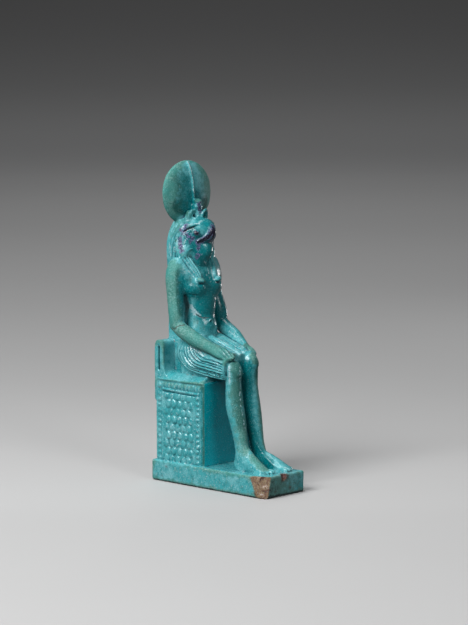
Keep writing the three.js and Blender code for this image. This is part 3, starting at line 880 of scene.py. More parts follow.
def add_arm(clay, side):
    """An arm and its hand on the knee; the left one lies a little further forward."""
    ahead = 0.7 if side > 0 else 0.0
    upper = Limb(
        mirrored(side, [(5, 17, 82.6), (8, 17, 81.8), (9.8, 16.9, 77.6), (10.5, 16.2, 70),
                        (11.1, 15.0 - ahead, 63), (11.1, 14.6 - ahead, 59.8)]),
        [2, 3.3, 3.6, 3, 2.9 + ahead / 4, 2.6 + ahead / 4], across=(1, 0, 0.4))
    clay.add(upper.form(), 1.2)
    low, high = sorted((side * 5, side * 10.5))
    clay.add(block(clay, (low, 16.4, 58), (high, 18.4, 80), 0.4), 0.6)
    path = [(11.1, 15.1, 60.4), (10.9, 12, 57.9), (10.2, 6, 54.8)]
    if side > 0:
        path += [(9.2, 1.6, 52.6), (8.2, -1.8, 51.0), (7.3, -4.7, 50.0), (6.5, -6.9, 49.2)]
        wide = [2.5, 2.8, 2.6, 2.0, 1.75, 2.3, 1.8]
    else:
        path += [(9.2, 1.6, 52.9), (8.0, -1.8, 51.5), (6.9, -5.0, 50.3), (5.7, -8.6, 48.7)]
        wide = [2.5, 2.8, 2.6, 2.2, 2.4, 2.6, 1.2]
    lower = Limb(mirrored(side, path), wide, [2.5, 2.8, 2.8, 2.2, 1.7, 1.4, 0.9],
                 across=(1, 0, 0) if side > 0 else (1, 0, 0.7), tips=(0.7, 0.5))
    clay.add(lower.form(40, 40), 0.2)
    clay.add(ball((side * 10.9, 15.4 - ahead, 60), (2.4, 2.0, 2.6)), 0.8)
    thumb = Limb(mirrored(side, [(6.3, -2.2, 51.2), (5.0, -4.2, 50.8), (4.3, -6.4, 50.0)]),
                 [0.9, 1.0, 0.6])
    clay.add(thumb.form(16, 16), 0.3)
    gaps = []
    for x in (5.2, 6.1, 7.0, 7.9):
        start = mirrored(side, np.column_stack([
            np.linspace(x + 1.2, 0.5 * x + 2.6, 16), np.linspace(-2.4, -8.8, 16), np.full(16, 56.0)]))
        gaps.append((settled(clay, start, (-0.3 * side, 0.35, -1)), [0.12, 0.36, 0.42]))
    clay.cut(ridges(gaps), 0.1)


# How far forward the five toes reach, from the big one
TOE_TIPS = (-24.0, -24.2, -23.6, -22.8, -21.8)


def add_leg(clay, side):
    """A shin and its foot. The left foot, which is far from the main view, is a little ahead."""
    far = side > 0
    forward, out = (1.5, 0.6) if far else (0, 0)
    grow = 0.3 if far else 0.0
    drop = 0.0 if far else 2.2
    shin = Limb(
        mirrored(side, [(4.5, -4.4, 47.4 - drop), (4.5, -7.0, 47.2 - drop),
                        (4.5 - grow / 2, -7.6, 44 - drop / 2),
                        (4.5 - grow, -7.6, 39), (4.5 - grow, -8.1, 32), (4.45 - grow, -9.5, 26),
                        (4.4 - grow, -10.5, 21.5), (4.35 - grow, -11.4, 17), (4.3, -12.4, 13),
                        (4.3, -12.6, 9)]),
        [2.5, 3.0, 2.85 + grow, 2.85 + grow, 3.15 + grow, 2.95 + grow, 2.6 + grow, 2.4 + grow, 2.5, 2.5],
        [2.6, 3.2, 2.95, 3.0, 3.5, 3.2, 2.85, 2.65, 2.9, 3.1])
    clay.add(shin.form(48, 36), 0.5)
    clay.add(ball((side * 4.5, -9.5, 46.4 - drop), (2.0, 1.3, 2.3), (-25, 0, 0)), 0.9)
    if far:
        path = [(4.2, -9.8, 9.3), (4.3, -12.8, 10.8), (4.6, -16.3, 10.4), (5.1, -20.3, 9.3),
                (5.4, -23.2, 8.6), (5.5, -25.1, 8.3)]
        deep = [1.9, 3.2, 3.3, 2.6, 1.8, 1.2]
    else:
        path = [(4.2, -9.8, 9.6), (4.3, -12.6, 12.2), (4.3, -15.4, 11.1), (4.4, -18.8, 9.8),
                (4.8, -21.7, 8.8), (4.9, -23.6, 8.4)]
        deep = [2.2, 3.9, 3.6, 2.5, 1.8, 1.2]
    foot = Limb(mirrored(side, path), [1.8, 2.4, 2.4, 2.6, 2.9, 3.0], deep)
    clay.add(foot.form(40, 36), 1.0)
    for i, tip in enumerate(TOE_TIPS):
        size = 1.05 - 0.1 * i
        place = (side * (2.4 + out + 1.25 * i), tip - forward, 8.5)
        clay.add(ball(place, (size * 0.72, 1.9, size)), 0.15)
    if far:
        edge = drawn([(3.0, -11.6, 17.3), (3.2, -14.6, 13.9), (3.6, -19.2, 10.3), (4.0, -22.8, 8.5)])
        clay.add(ridges([(settled(clay, edge, VIEW), [0.3, 0.5, 0.5, 0.3])]), 0.4)


def add_web(clay):
    """The clay left standing between the shins and the throne."""
    web = Limb([(0, -4.9, 45), (0, -5.0, 39), (0, -5.4, 32), (0, -7.2, 25), (0, -9.2, 17),
                (0, -10.4, 12), (0, -10.8, 7)], 3.9, [1.2, 1.1, 1.0, 0.9, 0.9, 1.0, 1.2], square=5)
    clay.add(web.form(), 0.4)


# The wig from the shoulders to the crown
WIG = Limb(
    [(0, 20.4, 76.4), (0, 20, 79.5), (0, 19.1, 84), (0, 18.3, 89), (0, 17.2, 93.2),
     (0, 15.6, 96.4), (0, 14.9, 98.3)],
    [6.6, 7.6, 8.1, 8.2, 7.6, 6.1, 3.8], [5.2, 6.2, 7.3, 8.2, 8.2, 7.2, 4.8], square=2.3,
    tips=(0.4, 0.22))

# Where the wig is cut away for the face, in Y and Z
FACE_OPENING = [(3, 95.6), (8.8, 95.7), (12.6, 95.6), (14.3, 94.6), (15.0, 92), (14.9, 88),
                (14.4, 86), (12.4, 82.8), (3, 82.6)]

# The head from the throat to the crown
HEAD = Limb(
    [(0, 15.4, 80), (0, 15, 83), (0, 14.9, 86), (0, 15, 89), (0, 15.2, 92), (0, 15.4, 95),
     (0, 15.8, 97)],
    [5.4, 4.8, 5.9, 7.1, 7.3, 6.4, 4], [3.4, 4.2, 5.0, 5.2, 5.2, 5.4, 3.5])


def lappet(side):
    return Limb(
        mirrored(side, [(8.2, 17.6, 91), (7.9, 16.4, 87.5), (7.1, 14.9, 84.6), (6.2, 13.1, 81.7),
                        (5.1, 11.2, 78.8), (4.6, 10.2, 77.0)]),
        [0.8, 1.6, 1.9, 1.8, 1.8, 1.7], [0.5, 0.9, 1.1, 1.1, 1.1, 1.0], across=(side, 0.9, 0),
        tips=(0.6, 0.6))


def add_wig(clay):
    clay.add(WIG.form(44, 60), 0.5)
    clay.cut(slab(clay, FACE_OPENING, 12, 0.6), 0.3)


def add_lappets(clay):
    """The wig's two lappets, each with the nub at its end."""
    for side in SIDES:
        clay.add(lappet(side).form(36, 36), 0.7)
        clay.add(ball((side * 7.3, 15.2, 86.4), (1.5, 1.6, 2.6), (-20, 0, 0)), 1.2)
        clay.add(ball((side * 5.5, 14.4, 86.8), (1.5, 1.5, 1.9)), 1.2)
        clay.add(ball((side * 4.5, 8.9, 76.2), (1.9, 1.5, 0.98), (0, side * -14, side * 34)), 0.12)
        crease = drawn(mirrored(side, [(6.6, 10.4, 75.2), (5.0, 8.5, 74.9), (3.3, 7.7, 75.1)]), 20)
        clay.cut(ridges([(settled(clay, crease, (0, 1, 0)), [0.1, 0.5, 0.4])]), 0.1)


# Where the locks end beside the face, as heights and how far back that is
LOCKS_END = [(82.8, 12.4), (86, 14.4), (88, 14.9), (91, 15.0), (94.4, 14.4), (95.7, 12.4), (96.2, 4)]


def add_strands(clay):
    """The locks of the wig, as ridges that run down from the crown and along both lappets."""
    raised, sunk = [], []
    locks, count = 80, 60
    heights, openings = zip(*LOCKS_END)
    share = np.linspace(0.12, 0.9, count)
    for k in range(locks):
        angle = 2 * math.pi * (k + 0.5) / locks
        line = WIG.skin(share, np.full(count, angle))
        kept = line[:, 1] > np.interp(line[:, 2], heights, openings) + 0.9
        start = count - np.argmax(~kept[::-1]) if (~kept).any() else 0
        if count - start > 5:
            if k % 2:
                raised.append((line[start:], [0.36, 0.42, 0.42, 0.32, 0.12]))
            else:
                sunk.append((line[start:], [0.22, 0.26, 0.24, 0.16, 0.06]))
    for side in SIDES:
        for k, angle in enumerate(np.radians((-165, -147, -128, -110, -91, -73, -54, -36, -18))):
            turned = angle if side < 0 else math.pi - angle
            line = lappet(side).skin(np.linspace(0.24, 0.98, 30), np.full(30, turned), 0.98)
            if k % 2:
                raised.append((line, [0.12, 0.34, 0.36, 0.34]))
            else:
                sunk.append((line, [0.08, 0.24, 0.24, 0.22]))
    clay.add(ridges(raised), 0.12)
    clay.cut(ridges(sunk), 0.08)


def add_face(clay):
    """The falcon's face: cheeks, brows, round eyes and the broad dark beak, hooked downwards."""
    clay.add(HEAD.form(36, 44), 0.15)
    clay.add(ball((0, 11.6, 95.4), (4.6, 3.6, 3.6)), 1.0)
    clay.add(ball((0, 9.9, 94.8), (3.2, 3.0, 2.9)), 0.8)
    clay.add(ball((0, 12.2, 87.2), (3.6, 4.0, 4.4)), 1.2)
    beak = Limb([(0, 9.0, 96.0), (0, 8.2, 95.1), (0, 7.8, 93.8), (0, 8.4, 92.4), (0, 9.4, 91.2),
                 (0, 10.3, 90.4)],
                [1.4, 1.8, 2.1, 2.6, 3.1, 3.6], [1.0, 1.3, 1.5, 1.5, 1.2, 0.8], tips=(0.8, 0.5))
    clay.add(beak.form(), 0.2)
    raised, sunk = [], []
    for side in SIDES:
        line = lambda count, *points: drawn(mirrored(side, points), count)
        clay.cut(ball((side * 5.0, 10.2, 93.6), (1.5, 1.7, 1.35), (0, 0, side * 35)), 0.3)
        sunk_eye = 0.4 if side > 0 else 0.0
        clay.add(ball((side * (4.6 - sunk_eye), 11.1 + sunk_eye, 93.7), (1.3, 1.25, 1.05)), 0.1)
        raised += [
            (line(24, (7.4, 15.0, 94.4), (6.6, 13.6, 95.7), (5.4, 11.9, 96.5), (4.2, 10.7, 96.9),
                  (3.2, 10.0, 97.0)), [0.3, 0.5, 0.5, 0.35, 0.12]),
            (line(24, (6.4, 13.2, 93.4), (5.6, 12.0, 92.4), (4.4, 10.9, 92.3), (3.6, 10.2, 93.0)),
             [0.15, 0.32, 0.3, 0.15]),
            (line(24, (1.4, 8.3, 95.2), (1.9, 7.9, 93.8), (2.6, 8.4, 92.6), (3.4, 9.5, 91.5),
                  (4.3, 11.0, 90.5)), [0.15, 0.3, 0.32, 0.32, 0.2]),
        ]
        sunk += [
            (line(16, (1.2, 8.2, 90.7), (2.4, 8.9, 90.0), (3.8, 10.5, 89.3)), [0.4, 0.5, 0.2]),
            (line(16, (7.2, 14.2, 93.6), (6.4, 12.7, 94.9), (5.2, 11.0, 95.4)), [0.3, 0.4, 0.2]),
        ]
        for k in range(7):
            low, high = 86.4 + 1.1 * k, 87.6 + 1.1 * k
            raised.append((line(10, (7.3, 14.2, low), (6.4, 12.9, high), (5.6, 12.0, high + 0.2)),
                           [0.4, 0.35, 0.1]))
    clay.add(ridges(raised, 10), 0.2)
    clay.cut(ridges(sunk), 0.1)


def add_crown(clay):
    """The sun disc, and the rearing cobra at its foot between two coils."""
    clay.add(lens(**DISC), 0.5)
    _, y, z = DISC["middle"]
    share = np.linspace(0, 0.97, 40)
    bulge = DISC["rim"] + (DISC["front"] - DISC["rim"]) * (1 - share ** 2) ** DISC["fullness"]
    tail = np.column_stack([
        -0.45 - 0.2 * share ** 2, y - bulge - 0.05, z + DISC["radius"] * share])
    tail = np.concatenate([[(-0.3, 16.3, 103), (-0.4, 16.3, 105.5)], tail])
    clay.add(ridges([(tail, [0.55, 0.55, 0.5, 0.5, 0.42])]), 0.15)
    clay.add(block(clay, (-1.1, 15.2, 96.5), (1.1, 18.2, 103.6), 0.4), 0.8)
    clay.add(ball((0, 14.9, 100.4), (1.6, 1.6, 2.8)), 0.8)
    clay.add(ball((0, 14.6, 102.7), (1.9, 1.25, 1.9), (8, 0, 0)), 0.3)
    clay.add(ball((-1.3, 14.2, 103.1), (0.8, 0.9, 0.9)), 0.3)
    clay.add(ball((0, 14.6, 104.9), (1.45, 1.6, 1.1), (10, 0, 0)), 0.12)
    coils = []
    for side, y in ((-1, 15.9), (1, 14.2)):
        clay.add(ball((side * 3.1, y, 100.5), (1.45, 1.4, 1.35)), 0.3)
        clay.add(ball((side * 3.4, y + 0.3, 98.8), (1.4, 1.4, 1.6)), 0.8)
        coils.append((drawn([(side * 3.3, y - 0.9, 101.5), (side * 2.2, y - 1.2, 101.6),
                             (side * 1.2, y - 1.2, 100.8), (side * 0.7, y - 1.0, 99.4)], 20),
                      [0.5, 0.6, 0.55, 0.5]))
        clay.cut(ball((side * 1.75, y - 1.2, 99.7), (0.65, 1.5, 0.8)), 0.15)
    clay.add(ridges(coils, 10), 0.3)


# Lines that are worked into the clay and marked in the glaze too, laid on along the main view
BELLY_CREASE = [(-4.5, 11.4, 63.7), (-4, 10.9, 63), (-3, 10.3, 62.4), (-1.5, 9.7, 61.9), (0, 9.1, 62)]
ELBOW_CRACK = [(-13, 15.3, 58.9), (-13, 14, 58.5), (-12.8, 13.2, 59.3), (-12, 12.4, 59.8),
               (-10.5, 11.8, 59.9), (-9, 11.5, 60.1)]
APRON_FOLD = [(-2, 6.2, 55.9), (-2, -1, 53.6), (-2, -6.9, 51.7)]

# Other lines cut there, with their thickness: under the right breast, between thumb and knee, and
# between the fingers of the right hand
CUTS = [
    ([(-8.5, 12.1, 71.3), (-7, 11.6, 70.9), (-5.4, 10.6, 70.6), (-3.6, 9.6, 70.7)], [0.1, 0.3, 0.3, 0.1]),
    ([(-6, -6.6, 48.3), (-5.5, -8, 48.1), (-5, -9.2, 47.9)], [0.2, 0.45, 0.3]),
    ([(-7, -5.1, 53.6), (-7, -7.6, 51.5), (-7, -9.4, 50.0)], [0.14, 0.42, 0.42]),
    ([(-7, -3.1, 53.0), (-7, -5.6, 51.2), (-7, -7.9, 49.4)], [0.14, 0.44, 0.44]),
    ([(-7, -1.1, 52.2), (-7, -4.1, 50.2), (-7, -6.4, 48.8)], [0.14, 0.4, 0.4]),
]


def carve_lines(clay):
    """The navel, and the small creases and folds that lie on the side of the main view."""
    navel = settled(clay, [(0.5, 8.5, 60.7)], VIEW)[0]
    angle = np.linspace(0, 2 * math.pi, 24)
    ring = navel + np.column_stack([0.75 * np.cos(angle), 0 * angle, 0.65 * np.sin(angle)])
    clay.add(ridges([(ring, 0.34)]), 0.1)
    clay.cut(ball(navel, (0.5, 0.8, 0.44)), 0.1)
    creases = [(BELLY_CREASE, [0.12, 0.32, 0.34, 0.3, 0.1]), (ELBOW_CRACK, [0.12, 0.24, 0.24, 0.2, 0.12])]
    lay = lambda line: settled(clay, drawn(line), VIEW)
    clay.cut(ridges([(lay(line), thickness) for line, thickness in creases + CUTS]), 0.12)
    clay.add(ridges([(lay(APRON_FOLD), [0.1, 0.2, 0.1])]), 0.1)


def break_corner(clay):
    """The corner that is broken off the base, and a smaller chip in its front edge."""
    corners = np.array([(-10.75, -21.1, 8.0), (-7.8, -28.75, 8.0), (-10.75, -25.3, 0.0)])
    out = -unit(np.cross(corners[1] - corners[0], corners[2] - corners[0]))
    window, _ = clay.near((-11.5, -30, -1), (-6, -18, 9))
    x, y, z = grid_points(window)
    away = (x - corners[0][0]) * out[0] + (y - corners[0][1]) * out[1] + (z - corners[0][2]) * out[2]
    rough = 0.24 * ROUGH[window] + 0.14 * FINE[window]
    lost = np.clip(-(away + rough), -BAND, BAND).astype(np.float32)
    broken = np.full(COUNT, BAND, np.float32)
    broken[window] = lost
    chip_window, chip = clay.measured(ball((-0.4, -29.3, 8.3), (1.4, 1.5, 2.4), (17, 0, 0)))
    chip = chip + 0.3 * ROUGH[chip_window]
    broken[chip_window] = np.minimum(broken[chip_window], chip)
    clay.depth = np.maximum(clay.depth, -broken)
    return broken


def finished_mesh(clay):
    """The clay's surface as a mesh of triangles, thinned where it is smooth."""
    grid = openvdb.FloatGrid(BAND)
    grid.copyFromArray(clay.depth)
    grid.transform = openvdb.createLinearTransform(voxelSize=STEP)
    points, quads = grid.convertToQuads(0.0)
    points = points + LOW
    a, b, c = (points[quads[:, k]] for k in range(3))
    if (np.cross(b - a, c - a) * a).sum() < 0:
        quads = quads[:, ::-1]
    mesh = bpy.data.meshes.new("statuette_glazed_faience")
    mesh.from_pydata(points.tolist(), [], quads.tolist())
    worked = shown("worked", mesh)
    modifier = worked.modifiers.new("thinned", "DECIMATE")
    modifier.ratio = min(1.0, TRIANGLES / (2 * len(quads)))
    return applied(worked, modifier)


def close_to(points, line, reach):
    """1 for points near a drawn line, falling to 0 at one and a quarter times the reach."""
    low, high = line.min(0) - 1.3 * reach, line.max(0) + 1.3 * reach
    inside = np.flatnonzero(((points > low) & (points < high)).all(1))
    values = np.zeros(len(points))
    best = np.full(len(inside), HUGE)
    for spot in line:
        best = np.minimum(best, ((points[inside] - spot) ** 2).sum(1))
    values[inside] = np.clip(1.25 - np.sqrt(best) / reach, 0, 1)
    return values


# Marks in the glaze. Each is a line, how far the mark reaches from it, and its strength, which is 1
# where none is given. The aubergine on the beak comes first: along its ridge, and down both sides
VIOLET = [
    ([(0, 8.2, 95.8), (0, 6.9, 95.2), (0, 6.4, 94.2), (0, 6.9, 92.6), (0, 8.3, 91)], 1.5),
]
VIOLET_BOTH = [
    ([(-0.8, 6.6, 94.4), (-1.6, 7.0, 93.0), (-2.4, 8.0, 91.8), (-3.4, 9.4, 90.8), (-4.0, 10.4, 90.3)],
     1.7),
]

# More aubergine, on the cheek, the eye, the throat and the cobra, laid on along the main view
VIOLET_MARKS = [
    ([(-7, 14.1, 96.2), (-7, 14.6, 95), (-7, 15.1, 93.4)], 1.5),
    ([(-7, 13.9, 93.0), (-6.5, 12.8, 92.2), (-6, 11.6, 91.6)], 1.5, 0.9),
    ([(-8, 16.2, 91.4), (-8, 15.8, 88.8), (-8, 15.3, 86.9)], 1.4),
    ([(-6, 13, 91), (-6, 12.8, 90)], 0.9),
    ([(-8, 15.7, 95), (-7.5, 14.6, 93.6)], 1.0),
    ([(-5, 11.1, 94.0), (-5, 10.2, 93.5)], 1.1, 1.5),
    ([(-4, 10.4, 89.4), (-4, 10.3, 88.2)], 1.3),
    ([(-3, 12.3, 84.5), (-3, 11.6, 85.4)], 1.3),
    ([(0, 13.9, 104), (0, 13.6, 103), (0, 13.6, 101.4)], 1.5),
]

# Whitish deposit on the glaze, and painted highlights and glints, laid in the same way
# The deposit lies under the right forearm, on the waist and on the left forearm; the rest are painted
# highlights and glints, on the belly crease, the navel, the beak's edge, the brow, the wig's edge, the
# collar, the right breast, the lap, the apron fold, the right shin and knee, the fingers, the throne's
# front, the chest, the lappets, the wig's locks and the disc's ridge, and one lightens the shade between
# the right hand and the left knee
BLOOM_AND_HIGHLIGHTS = [
    ([(-9.4, 9.8, 52.2), (-9.4, 5.8, 50.7), (-9.3, 1.8, 49.2)], 1.7, 0.8),
    ([(-4.6, 11.5, 64.4), (-4, 11, 63.8), (-3.2, 10.6, 63.1)], 0.8),
    ([(-6, 12.6, 66.5), (-5.5, 12.0, 65.2), (-5, 11.5, 63.9)], 2.0),
    ([(-0.2, 8.6, 60.8), (0.2, 8.5, 61.4), (0.8, 8.3, 61.4)], 0.32, 0.9),
    ([(-1.2, 8.5, 94.8), (-1.6, 8.4, 93.8), (-2.2, 8.9, 92.9), (-3, 9.9, 91.9), (-4, 10.9, 90.8)], 0.35),
    ([(-5.8, 13.9, 96.5), (-4.8, 12, 96.9), (-3.5, 10.6, 97.1)], 0.75),
    ([(-7.2, 14.8, 93.6), (-7.2, 14.0, 92.0), (-7.4, 14.2, 90.6), (-7.6, 14.8, 88.6)], 0.7, 0.85),
    ([(0, 10.6, 82.4), (-0.4, 11.2, 82.9)], 0.6),
    ([(-3.7, 8.2, 74.3), (-3.5, 7.8, 73.5)], 0.6),
    ([(3.8, -3.8, 50.3), (4.2, -4.6, 49.9)], 0.8, 0.9),
    (APRON_FOLD, 0.4),
    ([(9, 6.3, 56.4), (8, 2.8, 54.1)], 1.5, 0.7),
    ([(-2, -8.5, 45.2), (-2, -8.6, 39.2), (-2, -8.6, 33), (-2, -10.0, 27), (-2, -11.6, 21)], 0.6, 1.3),
    ([(-8.5, -9.0, 46), (-8.5, -9.4, 40)], 0.8),
    ([(-7, -4.3, 53.2), (-7, -8.6, 49.7)], 0.36, 0.85),
    ([(-7, -3.4, 52.0), (-7, -7.1, 49.1)], 0.36, 0.85),
    ([(-4.4, -8.4, 50.6), (-3.2, -9.4, 50.2)], 1.6, 0.75),
    ([(-7.1, 2.3, 16.7), (-7.1, 2.3, 16.5)], 0.45, 1.3),
    ([(0, 10.8, 81.1), (0, 10.1, 77.4)], 0.4, 1.0),
    ([(1, 10.5, 80.3), (1, 9.5, 76.3)], 0.4, 1.1),
    ([(2, 9.9, 80.6), (2, 8.7, 76.2)], 0.4, 1.1),
    ([(-8, 21.4, 89.5), (-8, 20.9, 84.7)], 0.35, 1.1),
    ([(-8, 19, 90.8), (-8, 18.8, 84.5)], 0.3),
    ([(-7, 16.2, 82.7), (-5.5, 11.5, 77.3)], 0.35),
    ([(-7, 14.1, 83.2), (-5.5, 9.9, 77.8)], 0.35),
    ([(-0.45, 16.1, 107), (-0.5, 16.75, 114), (-0.6, 17.95, 117.6), (-0.65, 19, 119.4)], 0.42, 1.2),
]

# Brown pits, laid in the same way
PITS = [
    (-10.75, 20.9, 5.7), (-10.75, 23.3, 1.9), (2.2, -21.9, 7.9), (2.2, -24.8, 7.9), (5.7, -25.7, 7.9),
    (-9.4, 12.7, 41.9), (-9.4, 11.2, 41.4), (-9.4, 8.6, 41.4), (-9.4, 14.2, 44.4), (-9.7, 17.8, 53.3),
    (-6.5, 13.4, 67.6), (-6.4, 13.1, 67.1), (1.6, -28.75, 7.2),
]

# Brown cracks and stains, laid in the same way: at the elbow, the belly, and the front of the base
STAIN = [
    (ELBOW_CRACK, 0.22),
    (BELLY_CREASE, 0.18),
    ([(-0.8, -28.6, 7.6), (0.2, -28.2, 7.0)], 1.9),
    ([(-0.9, -24.5, 7.9), (-0.4, -24.6, 7.9)], 0.6),
    ([(-10.4, -27.5, 3.2), (-9.6, -28, 2.6), (-8.6, -28.4, 3.4), (-7.6, -28.7, 3.0)], 0.3),
    ([(-5.4, -28.8, 2.5), (-4.8, -28.8, 2.2)], 0.5, 0.7),
    ([(2.8, -28.8, 2.8), (3.2, -28.8, 2.2)], 0.5, 0.7),
] + [([spot, spot], 0.34) for spot in PITS]

# Where the glaze is rubbed matt, on the arms, the legs, a nub, the belly and a lappet
RUBBED = [
    ([(-10, 16.9, 80), (-12.7, 16.4, 74), (-13.2, 15.8, 66), (-12.8, 15.4, 60.5)], 4.0),
    ([(-12.4, 14.6, 59.5), (-11.6, 8, 56.5), (-10.2, 2, 54), (-8.5, -3, 51.5), (-7, -6, 50)], 3.6),
    ([(-5.5, -9.5, 48.6), (-5.5, -9.8, 44), (-5.5, -10, 38), (-5.6, -10.4, 31), (-5.4, -12.2, 24),
      (-5, -13.6, 16)], 4.0, 0.72),
    ([(-4.5, -17, 13), (-4.5, -19, 11.6), (-4.8, -23, 9.6)], 2.0),
    ([(6, -9.4, 48.6), (6.2, -9.6, 44)], 2.6),
    ([(5.8, -10.2, 43), (5.9, -10.8, 34), (5.6, -12.4, 26), (5.6, -14.2, 16)], 2.7, 0.78),
    ([(7.5, -3, 51.8), (6.5, -6, 50.6)], 1.8),
    ([(-5.4, 9.0, 76.6), (-3.7, 8.0, 76.2)], 1.0),
    ([(-6.8, 12.2, 76), (-6.4, 11.6, 74)], 2.6, 0.6),
    ([(-5.8, 11.2, 61.6), (-5, 9.8, 58.6)], 2.6, 0.5),
    ([(4.5, -9.8, 48.4), (4.5, -10.2, 47.2)], 2.4, 0.62),
    ([(-7.8, 15.4, 89), (-7.6, 14.8, 86.5)], 2.2, 0.6),
]

# The same on both sides, given for the right one: the disc, and the edges of the throne
RUBBED_BOTH = [
    ([(-11, 19.5, 114), (-12.2, 20, 107), (-10.6, 19.6, 100.5)], 10.5, 0.74),
    ([(-9.7, 3, 38.4), (-9.7, 14, 37.4), (-9.7, 26, 37.4)], 2.2, 0.5),
    ([(-9.7, 2.6, 38), (-9.7, 2.6, 23), (-9.7, 2.6, 8)], 0.9, 0.5),
]

# Where the glaze is darker: partly thick glaze that gathers there, partly painted shade on faces turned
# from the light and where shade falls, as on the left arm, between the shins, inside the right arm, on
# the throat, the chest and under the breasts
POOLED_AND_SHADED = [
    ([(9.5, 13.4, 76), (9.8, 12.6, 70), (10, 12.0, 64), (10, 11.8, 61)], 4.4),
    ([(2.0, -8.5, 46), (1.8, -8.6, 38), (1.8, -9.2, 30), (1.9, -11, 20), (2.2, -14, 13),
      (2.8, -19, 9.6)], 2.6),
    ([(3.1, 13.2, 100.4), (2, 13, 100.2)], 1.8),
    ([(10, 8, 58), (8.8, 2, 54.4), (7.6, -3, 51.8)], 3.0, 0.35),
    ([(4.5, -9.8, 46.6), (4.4, -10.6, 42)], 3.0, 0.4),
    ([(-3.6, 4, 54.0), (-3.6, -2, 52.0), (-3.2, -6, 50.6)], 2.2, 0.5),
    ([(-10.8, 12.8, 79), (-10.8, 12.6, 72), (-10.6, 12.4, 65)], 2.4, 0.8),
    ([(-5.5, -9.5, 47), (-5.5, -10, 38), (-5.6, -10.4, 31), (-5.4, -12.2, 25)], 4.4, 0.36),
    ([(5.8, -10.2, 43), (5.9, -10.8, 34), (5.6, -12.4, 26)], 3.0, 0.25),
    ([(-4.6, 17.6, 113), (-4, 17.2, 108), (-2.6, 16.8, 104)], 5.5, 0.55),
    ([(4.6, 17.6, 113), (4, 17.2, 108), (2.6, 16.8, 104)], 5.5, 0.15),
]

# The same on both sides, given for the right one
POOLED_AND_SHADED_BOTH = [
    ([(-2.5, 8.6, 72), (-2.5, 8.6, 69), (-2.5, 8.8, 66), (-2, 8.6, 63.4)], 5.0),
    ([(0, 8.6, 78), (0, 8.3, 73)], 3.0),
    ([(-4.4, 9.6, 59.6), (-2, 7.8, 59), (0, 7.4, 58.6)], 2.4, 0.45),
    ([(-2, 11, 98.6), (-1.6, 8.4, 97.2), (-1, 7, 95.6)], 4.2, 0.62),
    ([(-4, 15, 98), (-6, 16, 95.4), (-7.6, 17, 91)], 3.4, 0.42),
    ([(-5.6, 12.6, 94.6), (-4.6, 11, 92.6)], 2.6, 0.7),
    ([(-2.8, 8.6, 89), (-2.4, 8.8, 86), (-1.2, 10, 83)], 4.0),
    ([(-8, 12.5, 74.5), (-7, 10.2, 72.4), (-4.8, 7.8, 72.2)], 3.4),
    ([(-5.6, 12.6, 92), (-4.8, 11.2, 90), (-4, 10.8, 88)], 3.2),
    ([(-6, 19, 104), (-3, 17.5, 103), (-1, 17, 106)], 3.6),
    ([(-1.0, -8, 46), (-1.0, -8, 38), (-1.0, -9, 28), (-1.0, -11.5, 16)], 2.0),
    ([(-7.5, 13, 70), (-7.6, 12.5, 62)], 1.8),
    ([(-9.7, 3.2, 37), (-9.7, 3.2, 9)], 1.3, 0.6),
]


def both(marks):
    """Marks given for the right side, and the same on the left."""
    return marks + [(mirrored(-1, line), *rest) for line, *rest in marks]


def marked(points, marks, clay=None):
    """How strongly marks act on each point. With clay, they are first laid on it along the main view."""
    values = np.zeros(len(points))
    for line, reach, *strength in marks:
        line = drawn(line, 20)
        if clay:
            line = settled(clay, line, VIEW)
        values = np.maximum(values, (strength[0] if strength else 1) * close_to(points, line, reach))
    return values


def within(values, low=-np.inf, high=np.inf):
    """1 where values lie between two limits, and 0 elsewhere."""
    return np.where((values > low) & (values < high), 1.0, 0.0)


